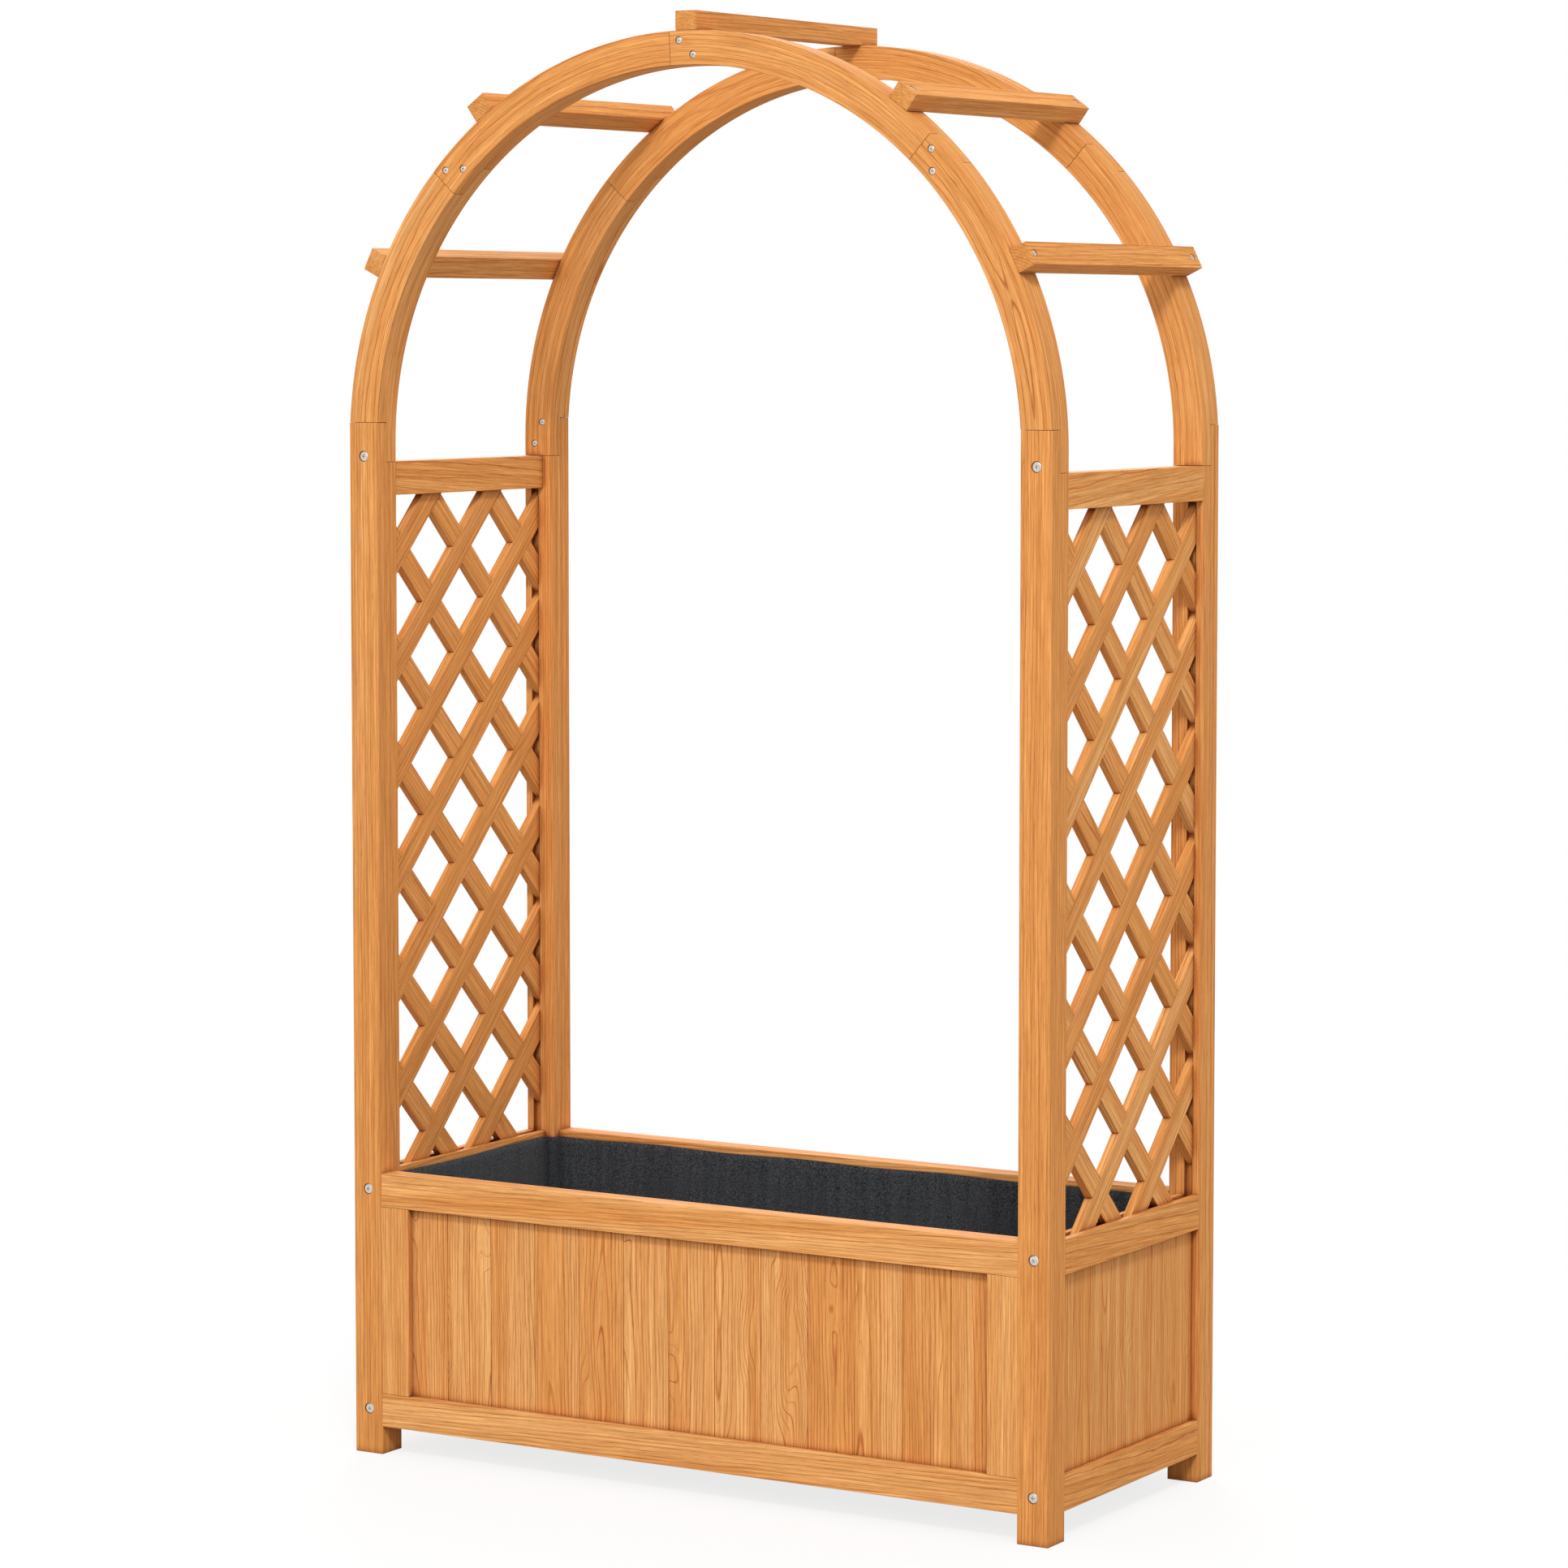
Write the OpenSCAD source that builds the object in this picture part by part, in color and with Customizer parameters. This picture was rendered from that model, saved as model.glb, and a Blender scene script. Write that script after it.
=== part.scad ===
// Wooden planter box with a trellis panel at each end and a double arch over it.
// X runs along the planter, Y from front to back, Z up.
// The origin is on the ground, in the middle under the box.
// The whole planter looks the same after half a turn about Z.

/* [Overall] */
// Length over the posts
length = 920; // [700:10:1300]
// Depth over the posts
depth = 400; // [320:10:600]
// Height of the arch's spring line above the ground
spring_h = 1184; // [900:2:1500]

/* [Posts and arch] */
// Side of the square posts, and the arch's depth and width
post_w = 38; // [36:1:50]
// Height of the half lap between a post and the arch
post_lap_h = 46; // [44:1:70]
// Length of a half lap between two arch segments, along the middle of the arch
arch_lap = 42; // [36:1:60]

/* [Cross slats] */
// Width of a cross slat
slat_w = 27; // [20:1:40]
// Thickness of a cross slat
slat_t = 21.5; // [15:0.5:30]
// Tilt of the two inner cross slats from the top of the arch, in degrees
slat_tilt_inner = 35.9; // [20:0.1:38]
// Tilt of the two outer cross slats from the top of the arch, in degrees
slat_tilt_outer = 63.9; // [52:0.1:75]

/* [Box frame] */
// Gap between the ground and the bottom rails
foot_h = 33; // [15:1:120]
// Height of the top of the box above the ground
box_h = 332; // [240:1:480]
// Height of every rail
rail_h = 39; // [36:1:60]
// Thickness of every rail and stile
rail_t = 26; // [24:1:32]
// Width of the stiles in the long panels
stile_w = 38; // [30:1:60]
// Length of the tenons on the long rails
long_tenon = 14; // [8:0.5:14]

/* [Panels] */
// Thickness of the boards and of the trellis panels
panel_t = 10; // [8:0.5:12]
// How deep the panels lie behind the faces of the frame
panel_inset = 8.75; // [6:0.25:9]
// Depth of the grooves that hold the panels
groove_d = 7; // [5:0.5:8]
// Width of a board from seam to seam
board_pitch = 60.8; // [45:0.2:90]
// Thickness of a board's tongue
tongue_t = 3.4; // [2.5:0.1:4]
// Length of a board's tongue
tongue_l = 4.5; // [3:0.5:6]

/* [Trellis] */
// Width of a lath
lath_w = 27.5; // [18:0.5:36]
// Upright distance from one lath to the next
lath_pitch = 126; // [100:1:160]
// Height of the first crossing on the panel's middle line, above the box
lath_start = 95; // [40:1:160]

/* [Floor and liner] */
// Side of the square floor cleats
cleat_w = 20; // [16:1:26]
// Height of the cleats' undersides above those of the bottom rails
cleat_rise = 3; // [1:1:12]
// Thickness of the floor boards
floor_t = 12; // [9:1:18]
// Width of a floor board and the gap beside it
floor_pitch = 105; // [80:1:140]
// Gap between two floor boards, for drainage
floor_gap = 8; // [4:1:14]
// Thickness of the fabric liner
liner_t = 1.5; // [1:0.1:3]
// How far the liner's edge lies below the top of the box
liner_drop = 7; // [3:1:20]

/* [Fasteners] */
// Diameter of a bolt head
bolt_head_d = 12; // [10:0.5:13]
// Thickness of a bolt head
bolt_head_h = 3; // [2:0.5:4]
// Diameter of a bolt shank
bolt_d = 6; // [4:0.5:6.5]
// Length of a bolt into a side rail
frame_bolt_l = 75; // [60:1:90]
// Length of a bolt into an arch tongue
lap_bolt_l = 32; // [27:1:34]
// Height of a lap bolt above the shoulder of the post
lap_bolt_rise = 7; // [6:0.5:9]
// Diameter of a screw head
screw_head_d = 8; // [6:0.5:9]
// Thickness of a screw head
screw_head_h = 2.4; // [1.5:0.1:3]
// Diameter of a screw shank
screw_d = 3.6; // [3:0.1:4.2]
// Length of a screw through a half lap
lap_screw_l = 30; // [26:1:32]
// Length of a screw through a cross slat
slat_screw_l = 38; // [34:1:42]
// Length of a screw through a cleat
cleat_screw_l = 36; // [30:1:40]
// Length of a screw through a floor board
floor_screw_l = 26; // [20:1:27]
// Distance of an arch screw from the edge of the arch
arch_screw_edge = 11; // [9:0.5:13]
// Half the distance between the two screws of an arch joint, along the arch
arch_screw_step = 9; // [7:0.5:11]
// Distance of a slat screw from the end of the slat
slat_screw_edge = 12; // [9:0.5:14]
// Distance of a post's lap screws from the edges of the post
lap_screw_edge = 13.5; // [9:0.5:14]
// Height of the lower lap screws above the shoulder of the post
lap_screw_rise = 15; // [13:0.5:17]
// Height of the lower lap screw that sits above a lap bolt
high_lap_screw_rise = 20; // [19:0.5:24]
// Distance of the upper lap screws from the top of the post
lap_screw_drop = 5; // [5:0.5:8]

/* [Fits] */
// Gap at the shoulders of a joint
joint_gap = 0.3; // [0.1:0.1:0.8]
// Play of a panel or tenon in its groove, on each side
play = 0.25; // [0.1:0.05:0.5]
// Play of a screw or bolt in its hole, on each side
hole_play = 0.2; // [0.1:0.05:0.4]
// How far the heads lie below the surface of the wood
head_sink = 0.6; // [0:0.1:1.5]

/* [Hidden] */
$fn = 64;

wood = [0.87, 0.62, 0.38];
shaded_wood = [0.80, 0.54, 0.31];
steel = [0.80, 0.80, 0.78];
fabric = [0.20, 0.20, 0.21];

half_lap = post_w / 2;
post_shoulder_h = spring_h - post_lap_h / 2;
post_top_h = spring_h + post_lap_h / 2;
arch_r = length / 2;
arch_mid_r = arch_r - post_w / 2;
joint_angles = [45, 90, 135];
half_lap_angle = arch_lap / 2 / arch_mid_r * 180 / PI;
joint_gap_angle = joint_gap / arch_mid_r * 180 / PI;

slat_tilts = [-slat_tilt_outer, -slat_tilt_inner, 0, slat_tilt_inner, slat_tilt_outer];
slat_seat_gap = 0.1;

top_rail_z = box_h - rail_h;
trellis_rail_z = post_shoulder_h - rail_h;
board_z = foot_h + rail_h;

groove_w = panel_t + 2 * play;
groove_x = panel_inset - play;
end_play = 0.5;
panel_edge = groove_d - end_play;

stile_h = top_rail_z - board_z;
board_h = stile_h + 2 * panel_edge;
front_board_w = length - 2 * (post_w + stile_w - panel_edge);
side_board_w = depth - 2 * (post_w - panel_edge);
narrowest_board = 16;

lath_window_w = depth - 2 * (post_w - panel_edge);
lath_window_h = trellis_rail_z - box_h + 2 * panel_edge;
lath_half_run = depth / 2 - post_w;
lath_count = ceil((lath_window_h + lath_window_w) / lath_pitch) + 2;

cleat_z = foot_h + cleat_rise;
floor_z = cleat_z + cleat_w;
floor_top = floor_z + floor_t;
floor_start = post_w + 2;
floor_count = floor((length - 2 * floor_start + floor_gap) / floor_pitch);
floor_margin = (length - floor_count * floor_pitch + floor_gap) / 2;

liner_gap = 0.3;
recess_w = 1;
recess_depth = 1.4;
screw_tip = 4;

// Heights of the laths where they cross the middle line of a side panel.
// A lath is left out where its middle line only cuts a corner of the panel.
function lath_run(c) = min(lath_half_run, trellis_rail_z - c) - max(-lath_half_run, box_h - c);
lath_heights = [
    for (i = [-lath_count : lath_count])
        let (c = box_h + lath_start + i * lath_pitch)
        if (lath_run(c) > lath_w) c
];

// Seams of a row of boards, measured from the middle of the panel.
// The offset is 0 for a seam in the middle and 0.5 for a board in the middle.
function seams(width, offset) = [
    for (i = [-ceil(width / board_pitch) : ceil(width / board_pitch)])
        let (s = (i + offset) * board_pitch)
        if (abs(s) < width / 2 - narrowest_board) s
];

// Frames of reference: x and y count inwards from the outer faces.
module at_front() {
    translate([-length / 2, -depth / 2, 0]) children();
}

module at_back() {
    rotate(180) at_front() children();
}

module at_right() {
    translate([length / 2, -depth / 2, 0]) mirror([1, 0, 0]) children();
}

module at_left() {
    rotate(180) at_right() children();
}

module at_corners() {
    at_front() children();
    at_right() children();
    at_left() children();
    at_back() children();
}

module at_front_arch() {
    translate([0, -depth / 2, spring_h]) children();
}

module at_both_arches() {
    at_front_arch() children();
    rotate(180) at_front_arch() children();
}

// Fasteners: the head's top is at z = 0 and the shank points down.
module fastener(head_d, head_h, d, l) {
    edge = head_h / 4;
    difference() {
        rotate_extrude()
            polygon([
                [0, 0], [head_d / 2 - edge, 0], [head_d / 2, -edge], [head_d / 2, -head_h],
                [d / 2, -head_h], [d / 2, screw_tip - l], [0, -l]
            ]);
        for (turn = [0, 90])
            rotate(turn)
                translate([-head_d / 4, -recess_w / 2, -recess_depth])
                    cube([head_d / 2, recess_w, recess_depth + 1]);
    }
}

module fastener_hole(head_d, head_h, d, l) {
    translate([0, 0, -head_h])
        cylinder(d = head_d + 2 * hole_play, h = head_h + head_sink + 1);
    translate([0, 0, -l - 1])
        cylinder(d = d + 2 * hole_play, h = l + 1);
}

module bolt(l) {
    fastener(bolt_head_d, bolt_head_h, bolt_d, l);
}

module bolt_hole(l) {
    fastener_hole(bolt_head_d, bolt_head_h, bolt_d, l);
}

module screw(l) {
    fastener(screw_head_d, screw_head_h, screw_d, l);
}

module screw_hole(l) {
    fastener_hole(screw_head_d, screw_head_h, screw_d, l);
}

// Places of the fasteners, shared by the fasteners and by their holes.
module frame_bolt_places() {
    at_corners()
        for (z = [foot_h + rail_h / 2, top_rail_z + rail_h / 2])
            translate([post_w / 2, head_sink, z]) rotate([90, 0, 0]) children();
}

module lap_bolt_places() {
    at_corners()
        translate([post_w / 2, head_sink, post_shoulder_h + lap_bolt_rise])
            rotate([90, 0, 0]) children();
}

module lap_screw_from_inside(place) {
    translate([place[0], post_w - head_sink, place[1]]) rotate([-90, 0, 0]) children();
}

// Three posts have their lap screws on the inner face, the back right one on the outer.
module post_lap_screw_places() {
    upper = [post_w - lap_screw_edge, post_top_h - lap_screw_drop];
    lower = [lap_screw_edge, post_shoulder_h + lap_screw_rise];
    lower_outside = [lap_screw_edge, post_shoulder_h + high_lap_screw_rise];
    for (place = [upper, lower]) {
        at_front() lap_screw_from_inside(place) children();
        at_right() lap_screw_from_inside(place) children();
        at_left() lap_screw_from_inside(place) children();
    }
    for (place = [upper, lower_outside])
        at_back() translate([place[0], head_sink, place[1]]) rotate([90, 0, 0]) children();
}

module arch_screw_places() {
    turn = arch_screw_step / arch_mid_r * 180 / PI;
    at_both_arches()
        for (a = joint_angles) {
            rotate([0, -a - turn, 0])
                translate([arch_r - arch_screw_edge, head_sink, 0])
                    rotate([90, 0, 0]) children();
            rotate([0, -a + turn, 0])
                translate([arch_r - post_w + arch_screw_edge, head_sink, 0])
                    rotate([90, 0, 0]) children();
        }
}

module slat_screw_places() {
    for (tilt = slat_tilts, side = [-1, 1])
        translate([0, side * (depth / 2 - slat_screw_edge), spring_h])
            rotate([0, tilt, 0])
                translate([0, 0, arch_r + slat_seat_gap + slat_t - head_sink]) children();
}

module cleat_screw_places() {
    for (side = [0, 180], i = [1 : 2 : floor_count - 1])
        rotate(side) at_front()
            translate([
                floor_margin + i * floor_pitch - floor_gap / 2,
                rail_t + cleat_w - head_sink,
                cleat_z + cleat_w / 2
            ])
                rotate([-90, 0, 0]) children();
}

module floor_screw_places() {
    for (side = [0, 180], i = [0 : floor_count - 1])
        rotate(side) at_front()
            translate([
                floor_margin + i * floor_pitch + (floor_pitch - floor_gap) / 2,
                rail_t + cleat_w / 2,
                floor_top - head_sink
            ])
                children();
}

// Corner post, drawn in the corner's frame of reference.
module post_blank() {
    difference() {
        union() {
            cube([post_w, post_w, post_shoulder_h]);
            cube([post_w, half_lap, post_top_h]);
        }
        translate([groove_x, post_w - groove_d, foot_h + groove_d - play])
            cube([groove_w, groove_d + 1, post_shoulder_h - foot_h - 2 * groove_d + 2 * play]);
        for (z = [foot_h, top_rail_z])
            translate([post_w - long_tenon - end_play, groove_x, z + groove_d - play])
                cube([long_tenon + end_play + 1, groove_w, rail_h - 2 * groove_d + 2 * play]);
    }
}

module drilled_post() {
    color(wood)
        difference() {
            children();
            frame_bolt_places() bolt_hole(frame_bolt_l);
            lap_bolt_places() bolt_hole(lap_bolt_l);
            post_lap_screw_places() screw_hole(lap_screw_l);
        }
}

module post_front_left() {
    drilled_post() at_front() post_blank();
}

module post_front_right() {
    drilled_post() at_right() post_blank();
}

module post_back_left() {
    drilled_post() at_left() post_blank();
}

module post_back_right() {
    drilled_post() at_back() post_blank();
}

// Block beside the arch at an angle from +X. It reaches from the radial plane at that
// angle towards lower angles (way = -1) or higher ones (way = 1).
module lap_cut(angle, way, y) {
    rotate([0, -angle, 0])
        translate([arch_r - 2 * post_w, y, way < 0 ? -2 * arch_lap : 0])
            cube([3 * post_w, half_lap + 1, 2 * arch_lap]);
}

// Segment of the front arch, counted from the left. Each joint is a half lap: the lower
// end of a segment keeps its back half, the upper end its front half. At a post the
// back half runs on down beside the post and the front half stands on the post.
module arch_segment(i) {
    low = 180 - 45 * i;
    high = low + 45;
    first = i == 1;
    last = i == 4;
    from = last ? 0 : low - half_lap_angle;
    to = first ? 180 : high + half_lap_angle - joint_gap_angle;
    leg_h = post_lap_h / 2 - joint_gap;
    difference() {
        union() {
            rotate([90, 0, 0])
                translate([0, 0, -post_w])
                    rotate(from)
                        rotate_extrude(angle = to - from, $fn = 180)
                            translate([arch_r - post_w, 0]) square(post_w);
            if (first || last)
                translate([first ? -arch_r : arch_r - post_w, 0, -leg_h])
                    cube([post_w, post_w, leg_h]);
        }
        if (!last) lap_cut(low + half_lap_angle, -1, -1);
        if (!first) lap_cut(high - half_lap_angle - joint_gap_angle, 1, half_lap);
        if (first || last)
            translate([-arch_r - 1, -1, -post_lap_h])
                cube([2 * arch_r + 2, half_lap + 1, 1.5 * post_lap_h + joint_gap]);
    }
}

module drilled_arch() {
    color(wood)
        difference() {
            children();
            lap_bolt_places() bolt_hole(lap_bolt_l);
            post_lap_screw_places() screw_hole(lap_screw_l);
            arch_screw_places() screw_hole(lap_screw_l);
            slat_screw_places() screw_hole(slat_screw_l);
        }
}

module front_arch(i) {
    drilled_arch() at_front_arch() arch_segment(i);
}

module back_arch(i) {
    drilled_arch() rotate(180) at_front_arch() arch_segment(i);
}

module front_arch_1() {
    front_arch(1);
}

module front_arch_2() {
    front_arch(2);
}

module front_arch_3() {
    front_arch(3);
}

module front_arch_4() {
    front_arch(4);
}

module back_arch_1() {
    back_arch(1);
}

module back_arch_2() {
    back_arch(2);
}

module back_arch_3() {
    back_arch(3);
}

module back_arch_4() {
    back_arch(4);
}

// Straight slat across both arches, counted from the left.
module cross_slat(i) {
    color(wood)
        difference() {
            translate([0, 0, spring_h])
                rotate([0, slat_tilts[i - 1], 0])
                    translate([-slat_w / 2, -depth / 2, arch_r + slat_seat_gap])
                        cube([slat_w, depth, slat_t]);
            slat_screw_places() screw_hole(slat_screw_l);
        }
}

module cross_slat_1() {
    cross_slat(1);
}

module cross_slat_2() {
    cross_slat(2);
}

module cross_slat_3() {
    cross_slat(3);
}

module cross_slat_4() {
    cross_slat(4);
}

module cross_slat_5() {
    cross_slat(5);
}

// Rail between the posts of a side, with a groove for the panel above or below it.
module side_rail(z, groove_above, groove_below) {
    run = depth - 2 * post_w;
    difference() {
        translate([0, post_w, z]) cube([rail_t, run, rail_h]);
        if (groove_above)
            translate([groove_x, post_w - 1, z + rail_h - groove_d])
                cube([groove_w, run + 2, groove_d + 1]);
        if (groove_below)
            translate([groove_x, post_w - 1, z - 1])
                cube([groove_w, run + 2, groove_d + 1]);
    }
    translate([panel_inset, post_w - panel_edge, z + groove_d])
        cube([panel_t, run + 2 * panel_edge, rail_h - 2 * groove_d]);
}

module bolted_rail() {
    color(shaded_wood)
        difference() {
            children();
            frame_bolt_places() bolt_hole(frame_bolt_l);
            cleat_screw_places() screw_hole(cleat_screw_l);
        }
}

module trellis_rail_left() {
    color(shaded_wood) at_left() side_rail(trellis_rail_z, false, true);
}

module trellis_rail_right() {
    color(shaded_wood) at_right() side_rail(trellis_rail_z, false, true);
}

module left_top_rail() {
    bolted_rail() at_left() side_rail(top_rail_z, true, true);
}

module left_bottom_rail() {
    bolted_rail() at_left() side_rail(foot_h, true, false);
}

module right_top_rail() {
    bolted_rail() at_right() side_rail(top_rail_z, true, true);
}

module right_bottom_rail() {
    bolted_rail() at_right() side_rail(foot_h, true, false);
}

// Rail of a long panel, tenoned into the posts, with a groove for the boards.
module long_rail(z, groove_above) {
    run = length - 2 * post_w;
    difference() {
        translate([post_w, 0, z]) cube([run, rail_t, rail_h]);
        translate([post_w - 1, groove_x, groove_above ? z + rail_h - groove_d : z - 1])
            cube([run + 2, groove_w, groove_d + 1]);
    }
    translate([post_w - long_tenon, panel_inset, z + groove_d])
        cube([run + 2 * long_tenon, panel_t, rail_h - 2 * groove_d]);
}

module drilled_long_rail() {
    color(wood)
        difference() {
            children();
            cleat_screw_places() screw_hole(cleat_screw_l);
        }
}

module front_top_rail() {
    color(wood) at_front() long_rail(top_rail_z, false);
}

module front_bottom_rail() {
    drilled_long_rail() at_front() long_rail(foot_h, true);
}

module back_top_rail() {
    color(wood) at_back() long_rail(top_rail_z, false);
}

module back_bottom_rail() {
    drilled_long_rail() at_back() long_rail(foot_h, true);
}

// Stile beside a post, with stub tenons in the rails' grooves.
module stile() {
    difference() {
        translate([post_w, 0, board_z + joint_gap])
            cube([stile_w, rail_t, stile_h - 2 * joint_gap]);
        translate([post_w + stile_w - groove_d, groove_x, board_z - 1])
            cube([groove_d + 1, groove_w, stile_h + 2]);
    }
    translate([post_w + joint_gap, panel_inset, board_z - panel_edge])
        cube([stile_w - groove_d - joint_gap, panel_t, board_h]);
}

module front_stile_left() {
    color(wood) at_front() stile();
}

module front_stile_right() {
    color(wood) mirror([1, 0, 0]) at_front() stile();
}

module back_stile_left() {
    color(wood) mirror([0, 1, 0]) at_front() stile();
}

module back_stile_right() {
    color(wood) at_back() stile();
}

// Row of upright boards. It runs along x from 0 to the width, and y is its thickness.
module board_row(width, offset) {
    edges = concat([-width / 2], seams(width, offset), [width / 2]);
    count = len(edges) - 1;
    for (i = [0 : count - 1]) {
        first = i == 0;
        last = i == count - 1;
        x0 = edges[i] + (first ? 0 : joint_gap / 2);
        x1 = edges[i + 1] - (last ? 0 : joint_gap / 2);
        translate([width / 2, 0, 0])
            linear_extrude(board_h) {
                difference() {
                    translate([x0, 0]) square([x1 - x0, panel_t]);
                    if (!first)
                        translate([x0 - 1, (panel_t - tongue_t) / 2 - play])
                            square([tongue_l + play + 1, tongue_t + 2 * play]);
                }
                if (!last)
                    translate([x1 - 1, (panel_t - tongue_t) / 2])
                        square([1 + joint_gap + tongue_l, tongue_t]);
            }
    }
}

module long_board_row() {
    translate([(length - front_board_w) / 2, panel_inset, board_z - panel_edge])
        board_row(front_board_w, 0.5);
}

module side_board_row() {
    translate([panel_inset, (depth - side_board_w) / 2, board_z - panel_edge])
        mirror([1, -1, 0]) board_row(side_board_w, 0);
}

module front_boards() {
    color(wood) at_front() long_board_row();
}

module back_boards() {
    color(wood) at_back() long_board_row();
}

module left_boards() {
    color(shaded_wood) at_left() side_board_row();
}

module right_boards() {
    color(shaded_wood) at_right() side_board_row();
}

// Laths of one direction in a side panel, as a flat drawing: x towards the back, y up.
module lath_strips(turn, extra) {
    for (c = lath_heights)
        translate([depth / 2, c])
            rotate(turn)
                square([2 * depth, lath_w + 2 * extra], center = true);
}

module lath_window() {
    translate([post_w - panel_edge, box_h - panel_edge])
        square([lath_window_w, lath_window_h]);
}

// Half the thickness of the laths, notched where the other direction crosses them or whole.
module lath_layer(turn, notched) {
    rotate([90, 0, 90])
        linear_extrude(panel_t / 2)
            intersection() {
                lath_window();
                difference() {
                    lath_strips(turn, 0);
                    if (notched) lath_strips(-turn, play);
                }
            }
}

// The laths that turn up towards the back show whole outside, the others inside.
module panel_laths(turn) {
    color(shaded_wood)
        translate([panel_inset, 0, 0]) {
            lath_layer(turn, turn < 0);
            translate([panel_t / 2, 0, 0]) lath_layer(turn, turn > 0);
        }
}

module right_laths_rising() {
    at_right() panel_laths(45);
}

module right_laths_falling() {
    at_right() panel_laths(-45);
}

module left_laths_rising() {
    at_left() panel_laths(-45);
}

module left_laths_falling() {
    at_left() panel_laths(45);
}

// Floor: two cleats on the long bottom rails carry boards with gaps between them.
module floor_cleats() {
    color(shaded_wood)
        difference() {
            for (side = [0, 180])
                rotate(side) at_front()
                    translate([floor_start, rail_t, cleat_z])
                        cube([length - 2 * floor_start, cleat_w, cleat_w]);
            cleat_screw_places() screw_hole(cleat_screw_l);
            floor_screw_places() screw_hole(floor_screw_l);
        }
}

module floor_boards() {
    color(shaded_wood)
        difference() {
            for (i = [0 : floor_count - 1])
                at_front()
                    translate([floor_margin + i * floor_pitch, rail_t + 1, floor_z])
                        cube([floor_pitch - floor_gap, depth - 2 * (rail_t + 1), floor_t]);
            floor_screw_places() screw_hole(floor_screw_l);
        }
}

// Outline of the liner: it follows the rails and steps round the four posts.
module liner_outline(t) {
    r = rail_t + liner_gap + t;
    p = post_w + liner_gap + t;
    polygon([
        [r, p], [p, p], [p, r], [length - p, r], [length - p, p], [length - r, p],
        [length - r, depth - p], [length - p, depth - p], [length - p, depth - r],
        [p, depth - r], [p, depth - p], [r, depth - p]
    ]);
}

module liner() {
    bottom = floor_top + liner_gap;
    top = box_h - liner_drop;
    color(fabric)
        at_front()
            difference() {
                translate([0, 0, bottom]) linear_extrude(top - bottom) liner_outline(0);
                translate([0, 0, bottom + liner_t]) linear_extrude(top - bottom) liner_outline(liner_t);
            }
}

module frame_bolts() {
    color(steel) frame_bolt_places() bolt(frame_bolt_l);
}

module lap_bolts() {
    color(steel) lap_bolt_places() bolt(lap_bolt_l);
}

module post_lap_screws() {
    color(steel) post_lap_screw_places() screw(lap_screw_l);
}

module arch_screws() {
    color(steel) arch_screw_places() screw(lap_screw_l);
}

module slat_screws() {
    color(steel) slat_screw_places() screw(slat_screw_l);
}

module cleat_screws() {
    color(steel) cleat_screw_places() screw(cleat_screw_l);
}

module floor_screws() {
    color(steel) floor_screw_places() screw(floor_screw_l);
}

post_front_left();
post_front_right();
post_back_left();
post_back_right();
front_arch_1();
front_arch_2();
front_arch_3();
front_arch_4();
back_arch_1();
back_arch_2();
back_arch_3();
back_arch_4();
cross_slat_1();
cross_slat_2();
cross_slat_3();
cross_slat_4();
cross_slat_5();
trellis_rail_left();
trellis_rail_right();
front_top_rail();
front_bottom_rail();
back_top_rail();
back_bottom_rail();
left_top_rail();
left_bottom_rail();
right_top_rail();
right_bottom_rail();
front_stile_left();
front_stile_right();
back_stile_left();
back_stile_right();
front_boards();
back_boards();
left_boards();
right_boards();
left_laths_rising();
left_laths_falling();
right_laths_rising();
right_laths_falling();
floor_cleats();
floor_boards();
liner();
frame_bolts();
lap_bolts();
post_lap_screws();
arch_screws();
slat_screws();
cleat_screws();
floor_screws();
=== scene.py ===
import math
import random

import bmesh
import bpy
from mathutils import Matrix, Vector, noise


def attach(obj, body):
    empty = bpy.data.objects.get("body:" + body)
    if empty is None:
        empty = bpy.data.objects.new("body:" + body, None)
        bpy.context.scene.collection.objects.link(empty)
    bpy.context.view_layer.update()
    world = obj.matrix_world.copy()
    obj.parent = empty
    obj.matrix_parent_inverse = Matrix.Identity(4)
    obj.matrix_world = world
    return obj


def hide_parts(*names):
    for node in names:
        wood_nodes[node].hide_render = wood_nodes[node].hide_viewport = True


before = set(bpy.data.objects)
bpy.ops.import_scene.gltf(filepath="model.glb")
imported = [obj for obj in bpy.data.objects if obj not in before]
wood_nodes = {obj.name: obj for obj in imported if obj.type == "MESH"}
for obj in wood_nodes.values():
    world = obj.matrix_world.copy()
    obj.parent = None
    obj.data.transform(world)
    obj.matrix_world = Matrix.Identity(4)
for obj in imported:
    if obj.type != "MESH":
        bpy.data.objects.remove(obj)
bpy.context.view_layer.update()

scene = bpy.context.scene

# Four square posts of planed softwood, oiled to a warm orange. Each is half-lapped at
# its head to take the arch, mortised for the long rails and grooved for the side panels.
# They come straight from the frame; only their arrises are eased with a sanding block.


def feed(tree, step, sockets):
    """Sets a node's inputs and joins the nodes and sockets that feed it."""
    for key, value in sockets.items():
        if isinstance(value, bpy.types.Node):
            value = next(s for s in value.outputs if s.enabled)
        if isinstance(value, bpy.types.NodeSocket):
            tree.links.new(value, step.inputs[key])
        else:
            step.inputs[key].default_value = value


def fit(tree, kind, sockets=None, **settings):
    """Adds one node to a tree, sets it and feeds it."""
    step = tree.nodes.new(kind)
    for name, value in settings.items():
        setattr(step, name, value)
    feed(tree, step, sockets or {})
    return step


def calc(tree, how, *values):
    """One Math node."""
    return fit(tree, "ShaderNodeMath", dict(enumerate(values)), operation=how)


def plus(tree, *values):
    return calc(tree, "ADD", *values)


def less(tree, *values):
    return calc(tree, "SUBTRACT", *values)


def times(tree, *values):
    return calc(tree, "MULTIPLY", *values)


def times_plus(tree, *values):
    return calc(tree, "MULTIPLY_ADD", *values)


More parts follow.
